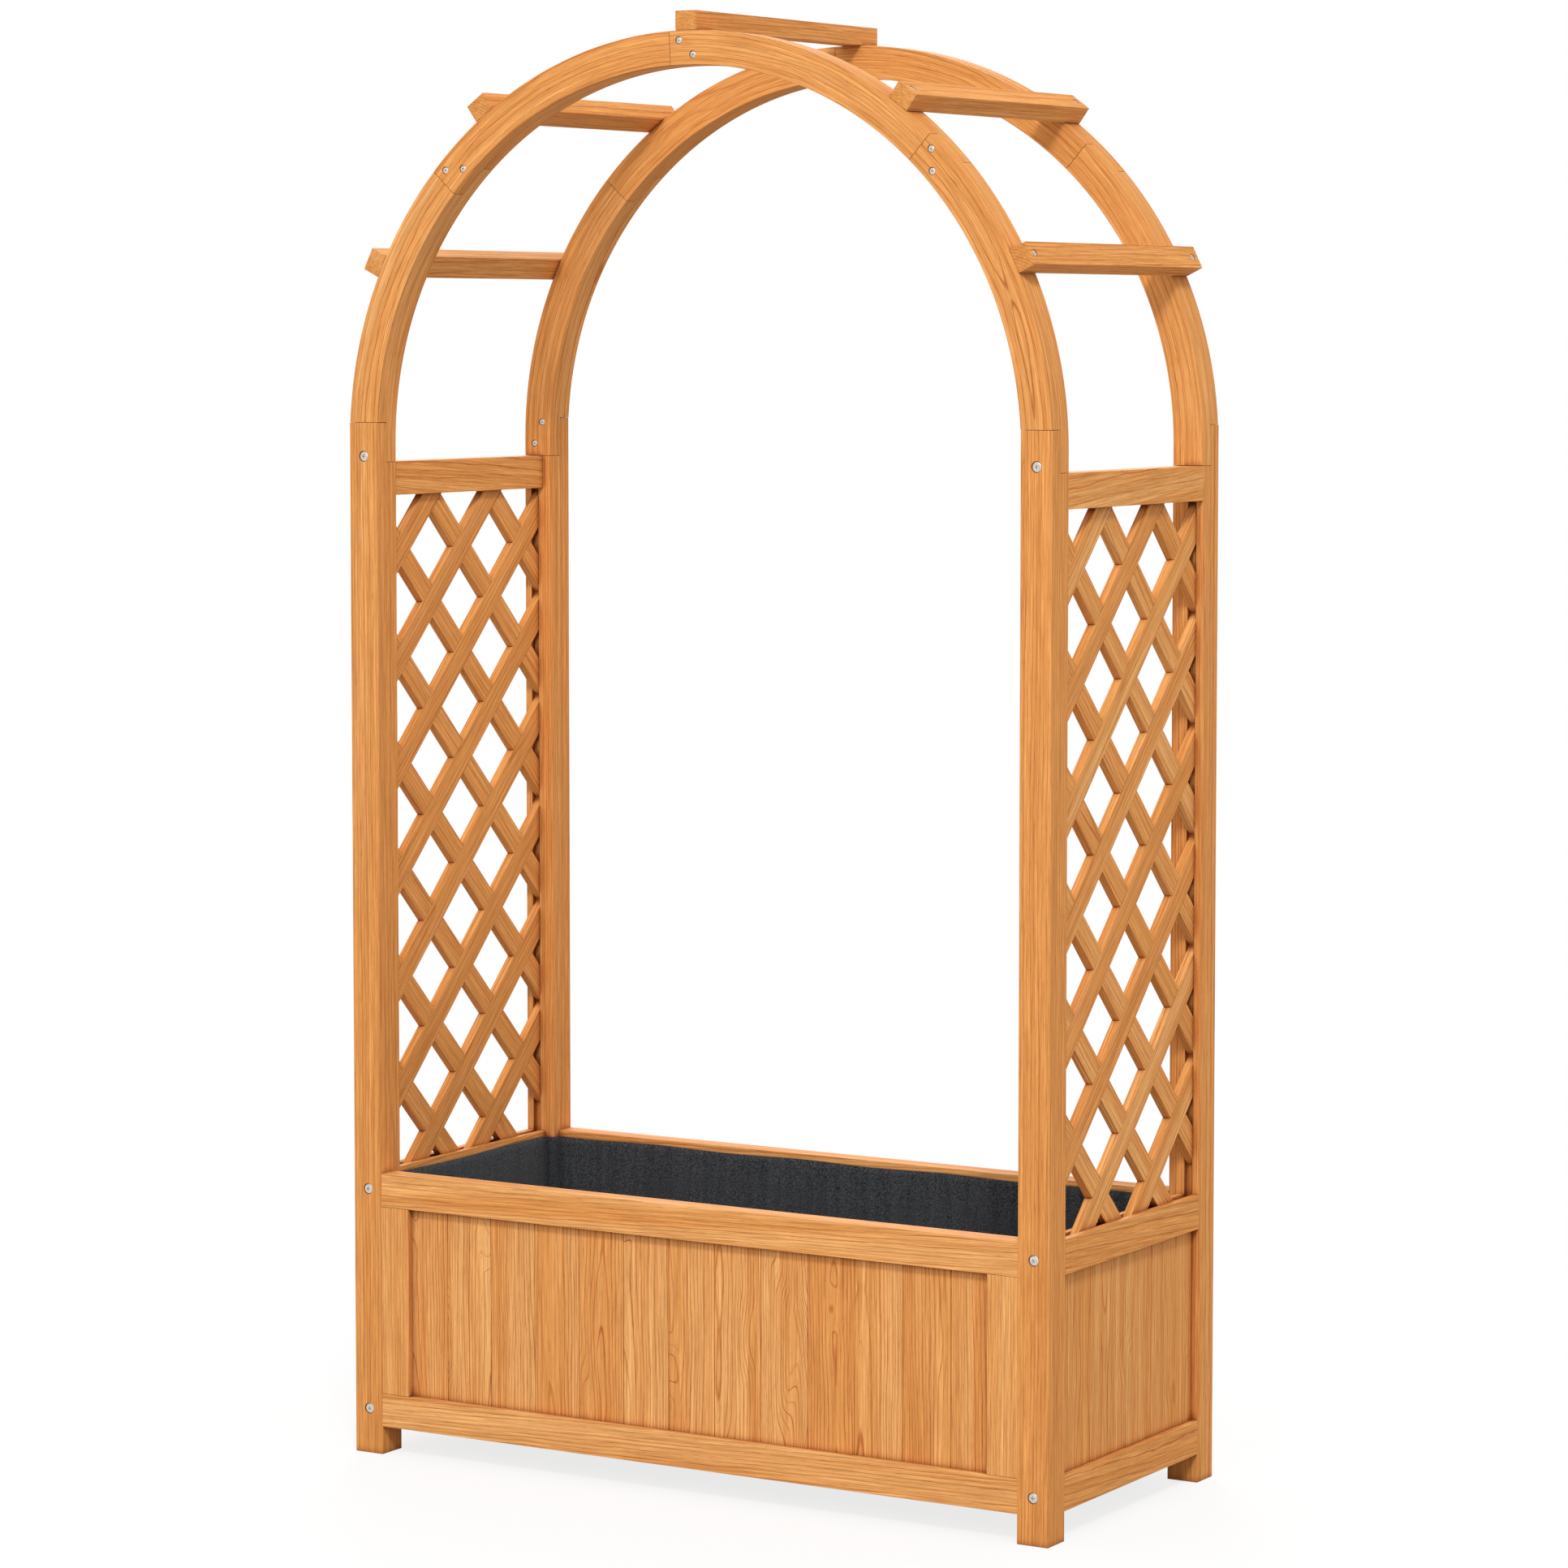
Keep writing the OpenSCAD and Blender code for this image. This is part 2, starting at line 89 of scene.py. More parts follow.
def calc_vector(tree, how, *values):
    """One Vector Math node."""
    return fit(tree, "ShaderNodeVectorMath", dict(enumerate(values)), operation=how)


def xyz_of(tree, x=0.0, y=0.0, z=0.0):
    """A vector made of numbers or sockets."""
    return fit(tree, "ShaderNodeCombineXYZ", {0: x, 1: y, 2: z})


def rise(tree, value, low, high, to_low=0.0, to_high=1.0, kind="SMOOTHSTEP"):
    """Map Range: to_low at or below low, to_high at or above high."""
    return fit(tree, "ShaderNodeMapRange", {0: value, 1: low, 2: high, 3: to_low, 4: to_high},
               interpolation_type=kind)


def mix(tree, factor, first, second):
    """From the first colour to the second."""
    return fit(tree, "ShaderNodeMix", {0: factor, 6: first, 7: second}, data_type="RGBA").outputs[2]


def fine_noise(tree, place, scale, detail=2.0, roughness=0.5):
    return fit(tree, "ShaderNodeTexNoise",
               {"Vector": place, "Scale": scale, "Detail": detail, "Roughness": roughness})


def end_grain(tree, normal, along):
    """1 on a face that is cut across the grain."""
    facing = calc_vector(tree, "DOT_PRODUCT", normal, along).outputs["Value"]
    return rise(tree, calc(tree, "ABSOLUTE", facing), 0.75, 0.95)


def group(name, kind, inputs, outputs):
    """A node group with named sockets. An input is listed with its usual value, or with its
    kind if it has none. Returns the group, what it is given and its output node."""
    tree = bpy.data.node_groups.new(name, kind)
    for label, usual in inputs.items():
        if isinstance(usual, tuple):
            form = "Color" if len(usual) == 4 else "Vector"
        else:
            form = usual if isinstance(usual, str) else type(usual).__name__.title()
        socket = tree.interface.new_socket(label, in_out="INPUT", socket_type="NodeSocket" + form)
        if form != usual:
            socket.default_value = usual
    for label, form in outputs.items():
        tree.interface.new_socket(label, in_out="OUTPUT", socket_type="NodeSocket" + form)
    return tree, fit(tree, "NodeGroupInput").outputs, fit(tree, "NodeGroupOutput")


def softwood_figure():
    """Growth rings round a wandering pith, with latewood lines, pores and end grain.
    Place is in metres: X and Y across the log from its pith, Z along it."""
    tree, given, result = group("softwood figure", "ShaderNodeTree", {
        "Place": (0, 0, 0), "Ring Width": 0.0046, "Wander": 0.008, "Wander Rate": 2.4, "Eyes": 0.0,
        "Line Strength": 0.75, "Line Width": 0.30, "Warmth": 0.5, "End Grain": 0.0,
        "Early Wood": (0.84, 0.425, 0.146, 1), "Warm Wood": (0.75, 0.320, 0.088, 1),
        "Late Wood": (0.46, 0.098, 0.021, 1),
    }, {"Color": "Color", "Roughness": "Float", "Height": "Float"})

    def stretched(across, along, place=None):
        """Where to read a noise that is drawn out along the grain."""
        return calc_vector(tree, "MULTIPLY", place or given["Place"], (across, across, along))

    # The pith wanders, and small swellings round old branches make eyes in the figure.
    wander_scale = xyz_of(tree, 14.0, 14.0, given["Wander Rate"])

    def from_pith(place):
        """How far a place lies from the pith."""
        slow = calc_vector(tree, "MULTIPLY", place, wander_scale)
        drift = less(tree, fine_noise(tree, slow, 1.0, 1.0), 0.5)
        eyes = rise(tree, fine_noise(tree, stretched(25, 7, place), 1.0, 0.0), 0.62, 0.90)
        radius = calc_vector(tree, "LENGTH", stretched(1, 0, place)).outputs["Value"]
        radius = times_plus(tree, drift, times(tree, given["Wander"], 2.0), radius)
        return times_plus(tree, eyes, given["Eyes"], radius)

    # Where the cut runs along a ring, the ring's line is kept as fine as it is elsewhere.
    step_aside = 0.0015
    radius = from_pith(given["Place"])
    aside = from_pith(calc_vector(tree, "ADD", given["Place"], (step_aside, 0, 0)))
    slope = calc(tree, "ABSOLUTE", less(tree, aside, radius))
    slope = rise(tree, slope, 0.05 * step_aside, 0.60 * step_aside, kind="LINEAR")
    ripple = less(tree, fine_noise(tree, stretched(52, 14), 1.0, 1.0), 0.5)
    jitter = less(tree, fine_noise(tree, stretched(420, 60), 1.0, 1.0), 0.5)
    rings = calc(tree, "DIVIDE", radius, given["Ring Width"])
    rings = times_plus(tree, ripple, times_plus(tree, slope, 0.45, 0.25), rings)
    rings = times_plus(tree, jitter, times_plus(tree, slope, 0.17, 0.05), rings)

    def late_lines(count, start, faintest):
        """Each year's line grows darker and stops sharply. Some years are fainter."""
        phase, number = calc(tree, "FRACT", count), calc(tree, "FLOOR", count)
        year = fit(tree, "ShaderNodeTexWhiteNoise", {"W": number}, noise_dimensions="1D")
        line = times(tree, rise(tree, phase, start, 0.93), rise(tree, phase, 0.94, 1.0, 1.0, 0.0))
        return times(tree, line, rise(tree, year, 0.0, 1.0, faintest, 1.0, "LINEAR"))

    start = less(tree, 0.86, times(tree, slope, given["Line Width"]))
    line = late_lines(rings, start, 0.35)
    fine_line = late_lines(times(tree, rings, 3.37), times_plus(tree, slope, -0.40, 0.75), 0.0)

    # Pores, fibres and the slow change from pale to warm wood.
    fibres = fine_noise(tree, stretched(900, 16), 1.0, 3.0, 0.65)
    pores = rise(tree, fine_noise(tree, stretched(1250, 70), 1.0, 1.0), 0.56, 0.76)
    bands = plus(tree, fine_noise(tree, stretched(45, 1.3), 1.0, 2.0), less(tree, given["Warmth"], 0.5))
    tone = mix(tree, rise(tree, bands, 0.32, 0.70), given["Early Wood"], given["Warm Wood"])
    darkness = times(tree, times_plus(tree, fine_line, 0.30, line), given["Line Strength"])
    darkness = times_plus(tree, pores, 0.28, darkness)
    tone = mix(tree, darkness, tone, given["Late Wood"])
    streaks = fine_noise(tree, stretched(240, 2.6), 1.0, 2.0, 0.6)
    shade = times(tree, rise(tree, fibres, 0.28, 0.72, 0.72, 1.25, "LINEAR"),
                  rise(tree, streaks, 0.3, 0.7, 0.89, 1.11, "LINEAR"))
    shade = times(tree, shade, rise(tree, given["End Grain"], 0.0, 1.0, 1.0, 0.92, "LINEAR"))
    # Darker fibres are redder too.
    shade = xyz_of(tree, shade, calc(tree, "POWER", shade, 1.35), calc(tree, "POWER", shade, 1.7))
    rough = rise(tree, fibres, 0.3, 0.7, 0.62, 0.76, "LINEAR")
    feed(tree, result, {
        "Color": calc_vector(tree, "MULTIPLY", tone, shade),
        "Roughness": times_plus(tree, given["End Grain"], 0.2, rough),
        "Height": times_plus(tree, pores, -0.45, times_plus(tree, line, 0.25, fibres))})
    return tree


figure = softwood_figure()
TURN_GRAIN = {"X": (0, -math.pi / 2, 0), "Y": (math.pi / 2, 0, 0), "Z": (0, 0, 0)}


def surface(name):
    """A new material, its tree and its main shader."""
    material = bpy.data.materials.new(name)
    material.use_nodes = True
    return material, material.node_tree, material.node_tree.nodes["Principled BSDF"]


def softwood(name, along, pith=(0, 0, 0), lean=0.0, **looks):
    """Oiled softwood. Along is the axis that the grain follows, a group that bends it, or
    "laid" for a piece that carries its own. The pith is where the log's heart lies, and the
    lean is how far the grain runs out across the piece."""
    material, tree, shader = surface(name)
    wood = fit(tree, "ShaderNodeGroup", node_tree=figure)
    for label, value in looks.items():
        wood.inputs[label.replace("_", " ").title()].default_value = value
    if along == "laid":
        for label, own, form in (("Place", "grain", "Vector"), ("End Grain", "end_grain", "Fac"),
                                 ("Warmth", "warmth", "Fac")):
            feed(tree, wood, {label: fit(tree, "ShaderNodeAttribute", attribute_name=own).outputs[form]})
    elif isinstance(along, bpy.types.NodeTree):
        curve = fit(tree, "ShaderNodeGroup", {"Pith": pith}, node_tree=along).outputs
        feed(tree, wood, {"Place": curve["Place"], "End Grain": curve["End Grain"]})
    else:
        spot = fit(tree, "ShaderNodeTexCoord").outputs
        turn = Vector(TURN_GRAIN[along]) + Vector((0, lean, 0) if along == "X" else (lean, 0, 0))
        place = fit(tree, "ShaderNodeMapping",
                    {"Vector": spot["Object"], "Rotation": turn, "Location": pith})
        axis = tuple(float(a == along) for a in "XYZ")
        feed(tree, wood, {"Place": place, "End Grain": end_grain(tree, spot["Normal"], axis)})
    # Painted shade: the wood is darkened to a deep red-brown where pieces meet and in the grooves, as far as
    # ambient occlusion finds it hemmed in.
    corner = fit(tree, "ShaderNodeAmbientOcclusion", {"Distance": 0.014}, samples=6)
    painted_shade_colour = calc_vector(tree, "MULTIPLY", wood.outputs["Color"], (0.26, 0.10, 0.05))
    tone = mix(tree, rise(tree, corner.outputs["AO"], 0.18, 0.87), painted_shade_colour, wood.outputs["Color"])
    relief = fit(tree, "ShaderNodeBump",
                 {"Height": wood.outputs["Height"], "Strength": 0.28, "Distance": 0.0004})
    feed(tree, shader, {"Base Color": tone, "Roughness": wood.outputs["Roughness"], "Normal": relief,
                        "Specular IOR Level": 0.08})
    return material


def ease(piece, width):
    """Takes the sharp arrises off, as a sanding block does."""
    weld = piece.modifiers.new("weld", "WELD")
    weld.merge_threshold = 0.00002
    plane = piece.modifiers.new("plane", "DECIMATE")
    plane.decimate_type = "DISSOLVE"
    plane.angle_limit = math.radians(0.2)
    bevel = piece.modifiers.new("ease", "BEVEL")
    bevel.width = width
    bevel.segments = 2
    bevel.limit_method = "ANGLE"
    bevel.angle_limit = math.radians(40)
    bevel.use_clamp_overlap = False
    flat = piece.modifiers.new("true faces", "WEIGHTED_NORMAL")
    flat.keep_sharp = True


def dress(node, along, pith, **looks):
    """Gives a piece of the frame its timber and eases it."""
    piece = wood_nodes[node]
    piece.material_slots[0].material = softwood(node + " timber", along, pith, **looks)
    ease(piece, 0.0004)


half_length = 0.460
half_depth = 0.200
post = 0.038
spring = 1.184
post_x = half_length - post / 2
post_y = half_depth - post / 2

for node, x, y, pith, wander, warmth in (
    ("post_front_left", -post_x, -post_y, (0.055, 0.042, 0.30), 0.006, 0.66),
    ("post_front_right", post_x, -post_y, (-0.048, 0.050, 0.75), 0.006, 0.78),
    ("post_back_left", -post_x, post_y, (0.060, 0.034, 1.30), 0.005, 0.60),
    ("post_back_right", post_x, post_y, (0.070, 0.032, 2.10), 0.005, 0.66),
):
    dress(node, "Z", (pith[0] - x, pith[1] - y, pith[2]), wander=wander, wander_rate=1.7,
          line_strength=0.6, ring_width=0.0038, warmth=warmth)

# Three rails tie each pair of posts at the sides: the bottom and top rails of the box, which
# are bolted through the posts, and a rail over the trellis. All are grooved on their edges.
rail = 0.039
rail_thick = 0.026
foot = 0.033
box_top = 0.332
trellis_top = spring - 0.023
side_x = half_length - rail_thick / 2
low_rail, top_rail, trellis_rail = foot + rail / 2, box_top - rail / 2, trellis_top - rail / 2

for node, x, z, cut, lean in (
    ("left_bottom_rail", -side_x, low_rail, 0.2, -0.03),
    ("right_bottom_rail", side_x, low_rail, 0.9, 0.04),
    ("left_top_rail", -side_x, top_rail, 1.5, -0.06),
    ("right_top_rail", side_x, top_rail, 2.2, 0.05),
    ("trellis_rail_left", -side_x, trellis_rail, 2.9, 0.07),
    ("trellis_rail_right", side_x, trellis_rail, 3.6, -0.08),
):
    # In the log X is the piece's x, Y is minus its z.
    dress(node, "Y", (0.055 - x, 0.045 + z, cut), lean=lean, wander=0.006, ring_width=0.0048,
          line_strength=0.65, line_width=0.12, warmth=0.62)

# The long panels are framed with a top and a bottom rail between the posts and a stile at
# each end. Rails and stiles are flush with the posts and butt together with fine joints.
stile = 0.038
front_y = half_depth - rail_thick / 2
stile_x = half_length - post - stile / 2

for node, y, z, cut in (
    ("front_top_rail", -front_y, top_rail, 0.1),
    ("front_bottom_rail", -front_y, low_rail, 1.7),
    ("back_top_rail", front_y, top_rail, 3.3),
    ("back_bottom_rail", front_y, low_rail, 4.9),
):
    # In the log X is minus the piece's z, Y is its y.
    dress(node, "X", (0.050 + z, 0.046 - y, cut), lean=0.03, wander=0.007, wander_rate=1.9,
          ring_width=0.0040, line_strength=0.65)

for node, x, y, cut in (
    ("front_stile_left", -stile_x, -front_y, 0.4),
    ("front_stile_right", stile_x, -front_y, 1.1),
    ("back_stile_left", -stile_x, front_y, 1.8),
    ("back_stile_right", stile_x, front_y, 2.5),
):
    dress(node, "Z", (0.050 - x, 0.035 - y, cut), wander=0.005, ring_width=0.0036,
          line_strength=0.5, warmth=0.56)

# Upright boards of 10 mm softwood fill the four panels of the box. Each has a tongue on one
# edge and a groove on the other, and the row slides into the grooves of the frame unglued.
board_pitch = 0.0608
frame_groove = 0.0065
board_low, board_high = foot + rail - frame_groove, box_top - rail + frame_groove
panel_thick = 0.010
panel_inset = 0.00875


def rule(name, sizes):
    """A geometry tree with named inputs."""
    return group(name, "GeometryNodeTree", sizes, {"Geometry": "Geometry"})


def moved(tree, geometry, by=(0, 0, 0), turn=(0, 0, 0)):
    """Turns a shape and moves it."""
    return fit(tree, "GeometryNodeTransform", {
        "Geometry": geometry, "Translation": by,
        "Rotation": fit(tree, "FunctionNodeEulerToRotation", {0: turn})})


def block(tree, size, middle=(0, 0, 0), steps=2):
    """A cuboid with its middle at a point. Sizes and places may be sockets."""
    cube = fit(tree, "GeometryNodeMeshCube", {"Size": xyz_of(tree, *size), "Vertices X": steps,
                                              "Vertices Y": 2, "Vertices Z": 2})
    return moved(tree, cube, xyz_of(tree, *middle))


def points_along(tree, count, start, step):
    """A row of points."""
    return fit(tree, "GeometryNodeMeshLine", {"Count": count, "Start Location": start, "Offset": step})


def copies(tree, shape, points, turn=(0, 0, 0)):
    """A copy of a shape at each point."""
    row = fit(tree, "GeometryNodeInstanceOnPoints", {"Points": points, "Instance": shape, "Rotation": turn})
    return fit(tree, "GeometryNodeRealizeInstances", {0: row})


def cut_away(tree, solid, *waste, how="DIFFERENCE"):
    """Cuts waste from a solid. UNION joins them, and INTERSECT keeps what they share."""
    step = fit(tree, "GeometryNodeMeshBoolean", {0: solid} if how == "DIFFERENCE" else {},
               operation=how, solver="EXACT")
    for piece in waste if how == "DIFFERENCE" else (solid, *waste):
        feed(tree, step, {1: piece})
    return step


def finish_rule(tree, geometry, material, result):
    """Ends a rule: one real mesh, smooth, with its material."""
    real = fit(tree, "GeometryNodeRealizeInstances", {0: geometry})
    smooth = fit(tree, "GeometryNodeSetShadeSmooth", {"Geometry": real})
    dressed = fit(tree, "GeometryNodeSetMaterial", {"Geometry": smooth, "Material": material})
    feed(tree, result, {0: dressed})
    return tree


def stand(name, data):
    """Puts a mesh, a lamp or a camera in the scene."""
    thing = bpy.data.objects.new(name, data)
    scene.collection.objects.link(thing)
    return thing


def as_built(piece):
    """Keeps what the modifiers make of a piece as its plain mesh."""
    depsgraph = bpy.context.evaluated_depsgraph_get()
    mesh = bpy.data.meshes.new_from_object(piece.evaluated_get(depsgraph), depsgraph=depsgraph)
    piece.modifiers.clear()
    mesh.name = piece.name
    piece.data = mesh
    return piece


def make(name, tree, sizes, start=None):
    """Runs a rule on an object of its own and keeps the result."""
    piece = stand(name, start or bpy.data.meshes.new(name))
    maker = piece.modifiers.new("rule", "NODES")
    maker.node_group = tree
    for item in tree.interface.items_tree:
        if item.in_out == "INPUT" and item.name in sizes:
            maker[item.identifier] = sizes[item.name]
    return as_built(piece)


def lay_grain(piece, seed, where, spread, heart, tones):
    """Writes each point's place in its log, and which faces show end grain. where(point)
    gives the number of the piece of timber, its own coordinates and the grain's direction.
    The heart of its log lies about that far behind it, give or take the spread."""
    mesh = piece.data
    grain = mesh.attributes.new("grain", "FLOAT_VECTOR", "POINT")
    ends = mesh.attributes.new("end_grain", "FLOAT", "FACE")
    warmth = mesh.attributes.new("warmth", "FLOAT", "FACE")
    logs = {}

    def log(number):
        if number not in logs:
            pick = random.Random(seed * 1000 + number)
            pith = Vector([h + s * pick.uniform(-1, 1) for h, s in zip((0.0, heart, 0.0), (*spread, 2.0))])
            logs[number] = pith, pick.uniform(*tones)
        return logs[number]

    for face in mesh.polygons:
        number, _, direction = where(face.center)
        pith, tone = log(number)
        ends.data[face.index].value = float(abs(face.normal.dot(direction)) > 0.8)
        warmth.data[face.index].value = tone
        for corner in face.vertices:
            grain.data[corner].vector = where(mesh.vertices[corner].co, number)[1] + pith


def board_rule():
    tree, size, result = rule("tongued and grooved boards", {
        "Boards": 13, "Pitch": 0.06, "Joint": 0.0003, "Half Row": 0.39, "Height": 0.234,
        "Thickness": 0.01, "Tongue": 0.0045, "Tongue Thickness": 0.0034, "Play": 0.00025,
        "Seat": (0, 0, 0), "Turn": (0, 0, 0), "Timber": "Material"})
    width = less(tree, size["Pitch"], size["Joint"])
    half = times(tree, width, 0.5)
    board = block(tree, (width, size["Thickness"], size["Height"]))
    root = 0.002
    tongue_at = plus(tree, half, times_plus(tree, size["Tongue"], 0.5, -root / 2))
    tongue = block(tree, (plus(tree, size["Tongue"], root), size["Tongue Thickness"], size["Height"]),
                   (tongue_at, 0, 0))
    groove_wide = times_plus(tree, size["Play"], 2.0, size["Tongue Thickness"])
    groove_deep = times(tree, plus(tree, size["Tongue"], size["Play"]), 2.0)
    groove = block(tree, (groove_deep, groove_wide, 1.0), (times(tree, half, -1.0), 0, 0))
    board = cut_away(tree, cut_away(tree, board, tongue, how="UNION"), groove)
    first = times(tree, less(tree, size["Boards"], 1.0), times(tree, size["Pitch"], -0.5))
    row = copies(tree, board, points_along(tree, size["Boards"], xyz_of(tree, first),
                                           xyz_of(tree, size["Pitch"])))
    # The end boards are sawn to the width of the panel.
    xyz = fit(tree, "ShaderNodeSeparateXYZ", {0: fit(tree, "GeometryNodeInputPosition")}).outputs
    sawn = calc(tree, "MINIMUM", xyz["X"], size["Half Row"])
    sawn = calc(tree, "MAXIMUM", sawn, times(tree, size["Half Row"], -1.0))
    row = fit(tree, "GeometryNodeSetPosition",
              {"Geometry": row, "Position": xyz_of(tree, sawn, xyz["Y"], xyz["Z"])})
    row = fit(tree, "GeometryNodeMergeByDistance", {"Geometry": row, "Distance": 0.00001})
    return finish_rule(tree, moved(tree, row, size["Seat"], size["Turn"]), size["Timber"], result)


boards_tree = board_rule()
panel_y = half_depth - panel_inset - panel_thick / 2
panel_x = half_length - panel_inset - panel_thick / 2
long_row = half_length - post - stile + frame_groove
side_row = half_depth - post + frame_groove
bold, mild = (0.0029, 0.85, (0.44, 0.60)), (0.0034, 0.65, (0.54, 0.68))
for node, count, half_row, seat, turn, seed, (ring, strength, tones) in (
    ("front_boards", 13, long_row, (0, -panel_y), 0, 3, bold),
    ("back_boards", 13, long_row, (0, panel_y), math.pi, 4, bold),
    ("right_boards", 6, side_row, (panel_x, 0), math.pi / 2, 5, mild),
    ("left_boards", 6, side_row, (-panel_x, 0), -math.pi / 2, 6, mild),
):
    timber = softwood(node + " timber", "laid", wander=0.009, wander_rate=3.0, line_strength=strength,
                      eyes=0.014, ring_width=ring)
    row = make(node + "_row", boards_tree, {
        "Boards": count, "Pitch": board_pitch, "Half Row": half_row,
        "Height": board_high - board_low, "Thickness": panel_thick,
        "Seat": (*seat, (board_low + board_high) / 2), "Turn": (0.0, 0.0, turn), "Timber": timber})
    back = Matrix.Rotation(-turn, 3, "Z")

    def in_row(point, number=None, back=back, seat=seat, count=count):
        local = back @ (point - Vector((*seat, 0)))
        if number is None:
            number = math.floor(local.x / board_pitch + count / 2)
        middle = (number - (count - 1) / 2) * board_pitch
        return number, Vector((local.x - middle, local.y, local.z)), Vector((0, 0, 1))

    lay_grain(row, seed, in_row, (0.075, 0.015), 0.035, tones)
    ease(row, 0.0006)
    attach(row, "root")
    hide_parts(node)

# Each end has a lattice of laths, 27.5 by 10 mm, crossing square at 45 degrees. They are
# half-lapped into each other so that both faces lie flush, and held in the frame's grooves.
lath_wide = 0.0275
lath_pitch = 0.126
lath_first = 0.301
lath_count = 8


def lath_rule():
    tree, size, result = rule("half-lapped laths", {
        "Laths": 8, "Pitch": 0.126, "First": 0.3, "Width": 0.0275, "Thickness": 0.01,
        "Play": 0.00025, "Lean": 0.785, "Notch Side": 1.0, "Window Width": 0.337, "Window Low": 0.3,
        "Window High": 1.1, "Seat": (0, 0, 0), "Turn": (0, 0, 0), "Timber": "Material"})
    uncut, waste = 0.60, 0.1
    lath = block(tree, (size["Width"], size["Thickness"], uncut))
    notch_at = times(tree, times(tree, size["Thickness"], 0.5), size["Notch Side"])
    notch_long = times_plus(tree, size["Play"], 2.0, size["Width"])
    notch = block(tree, (waste, size["Thickness"], notch_long), (0, notch_at, 0))
    step = times(tree, size["Pitch"], math.sqrt(0.5))
    crossings = points_along(tree, 5, xyz_of(tree, z=times(tree, step, -2.0)), xyz_of(tree, z=step))
    lath = cut_away(tree, lath, copies(tree, notch, crossings))
    lath = moved(tree, lath, turn=xyz_of(tree, y=size["Lean"]))
    stack = points_along(tree, size["Laths"], xyz_of(tree, z=size["First"]), xyz_of(tree, z=size["Pitch"]))
    tall = less(tree, size["Window High"], size["Window Low"])
    middle = times(tree, plus(tree, size["Window High"], size["Window Low"]), 0.5)
    window = block(tree, (size["Window Width"], waste, tall), (0, 0, middle))
    laths = cut_away(tree, copies(tree, lath, stack), window, how="INTERSECT")
    return finish_rule(tree, moved(tree, laths, size["Seat"], size["Turn"]), size["Timber"], result)


laths_tree = lath_rule()
# A lean of +1 rises towards the row's own +X. The notch is on the outer face, -Y, or inside.
for node, x, turn, lean, notch_side, seed in (
    ("right_laths_rising", panel_x, math.pi / 2, 1, 1, 11),
    ("right_laths_falling", panel_x, math.pi / 2, -1, -1, 12),
    ("left_laths_falling", -panel_x, -math.pi / 2, 1, 1, 13),
    ("left_laths_rising", -panel_x, -math.pi / 2, -1, -1, 14),
):
    timber = softwood(node + " timber", "laid", wander=0.006, line_strength=0.6, ring_width=0.0034)
    laths = make(node + "_set", laths_tree, {
        "Laths": lath_count, "Pitch": lath_pitch, "First": lath_first, "Width": lath_wide,
        "Thickness": panel_thick, "Lean": lean * math.pi / 4, "Notch Side": float(notch_side),
        "Window Width": 2 * side_row, "Window Low": box_top - frame_groove,
        "Window High": trellis_top - rail + frame_groove,
        "Seat": (x, 0.0, 0.0), "Turn": (0.0, 0.0, turn), "Timber": timber})
    back = Matrix.Rotation(-turn, 3, "Z")
    level = Matrix.Rotation(-lean * math.pi / 4, 3, "Y")

    def in_lattice(point, number=None, back=back, level=level, x=x, lean=lean):
        flat = back @ (point - Vector((x, 0, 0)))
        if number is None:
            number = round((flat.z - lean * flat.x - lath_first) / lath_pitch)
        own = level @ (flat - Vector((0, 0, lath_first + number * lath_pitch)))
        return number, own, back.inverted() @ Vector((lean, 0, 1)).normalized()

    lay_grain(laths, seed, in_lattice, (0.06, 0.02), 0.04, (0.52, 0.74))
    ease(laths, 0.0005)
    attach(laths, "root")
    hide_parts(node)

# Two half-round arches, each of four segments of softwood bent to the curve. The segments
# are half-lapped where they meet, and the lowest run down beside the heads of the posts.
# Two screws with sunk heads hold each lap.
arch_middle = half_length - post / 2
lap_long = 0.042
lap_angle = lap_long / 2 / arch_middle
joint = 0.0003
post_lap = 0.046
bore_radius = 0.0042
bore_deep = 0.003


def grain_round_arch():
    """Bends the grain round an arch and straight down its feet. Pith is the log's heart."""
    tree, given, result = group("grain round arch", "ShaderNodeTree", {
        "Middle Radius": arch_middle, "Spring Height": spring, "Pith": (0, 0, 0),
    }, {"Place": "Vector", "End Grain": "Float"})
    spot = fit(tree, "ShaderNodeTexCoord").outputs
    xyz = fit(tree, "ShaderNodeSeparateXYZ", {0: spot["Object"]}).outputs
    height = less(tree, xyz["Z"], given["Spring Height"])
    up = calc(tree, "MAXIMUM", height, 0.0)
    down = times(tree, less(tree, height, up), calc(tree, "SIGN", xyz["X"]))
    flat = xyz_of(tree, xyz["X"], 0.0, up)
    radius = calc_vector(tree, "LENGTH", flat).outputs["Value"]
    angle = calc(tree, "ARCTAN2", up, xyz["X"])
    place = xyz_of(tree, less(tree, radius, given["Middle Radius"]), xyz["Y"],
                   times_plus(tree, angle, given["Middle Radius"], down))
    along = calc_vector(tree, "NORMALIZE", calc_vector(tree, "CROSS_PRODUCT", flat, (0, 1, 0)))
    feed(tree, result, {"Place": calc_vector(tree, "ADD", place, given["Pith"]),
                        "End Grain": end_grain(tree, along, spot["Normal"])})
    return tree


def bore(tree):
    """The round bar that sinks the head of a screw."""
    return fit(tree, "GeometryNodeMeshCylinder", {
        "Vertices": 32, "Radius": bore_radius, "Depth": 2 * bore_deep}).outputs["Mesh"]


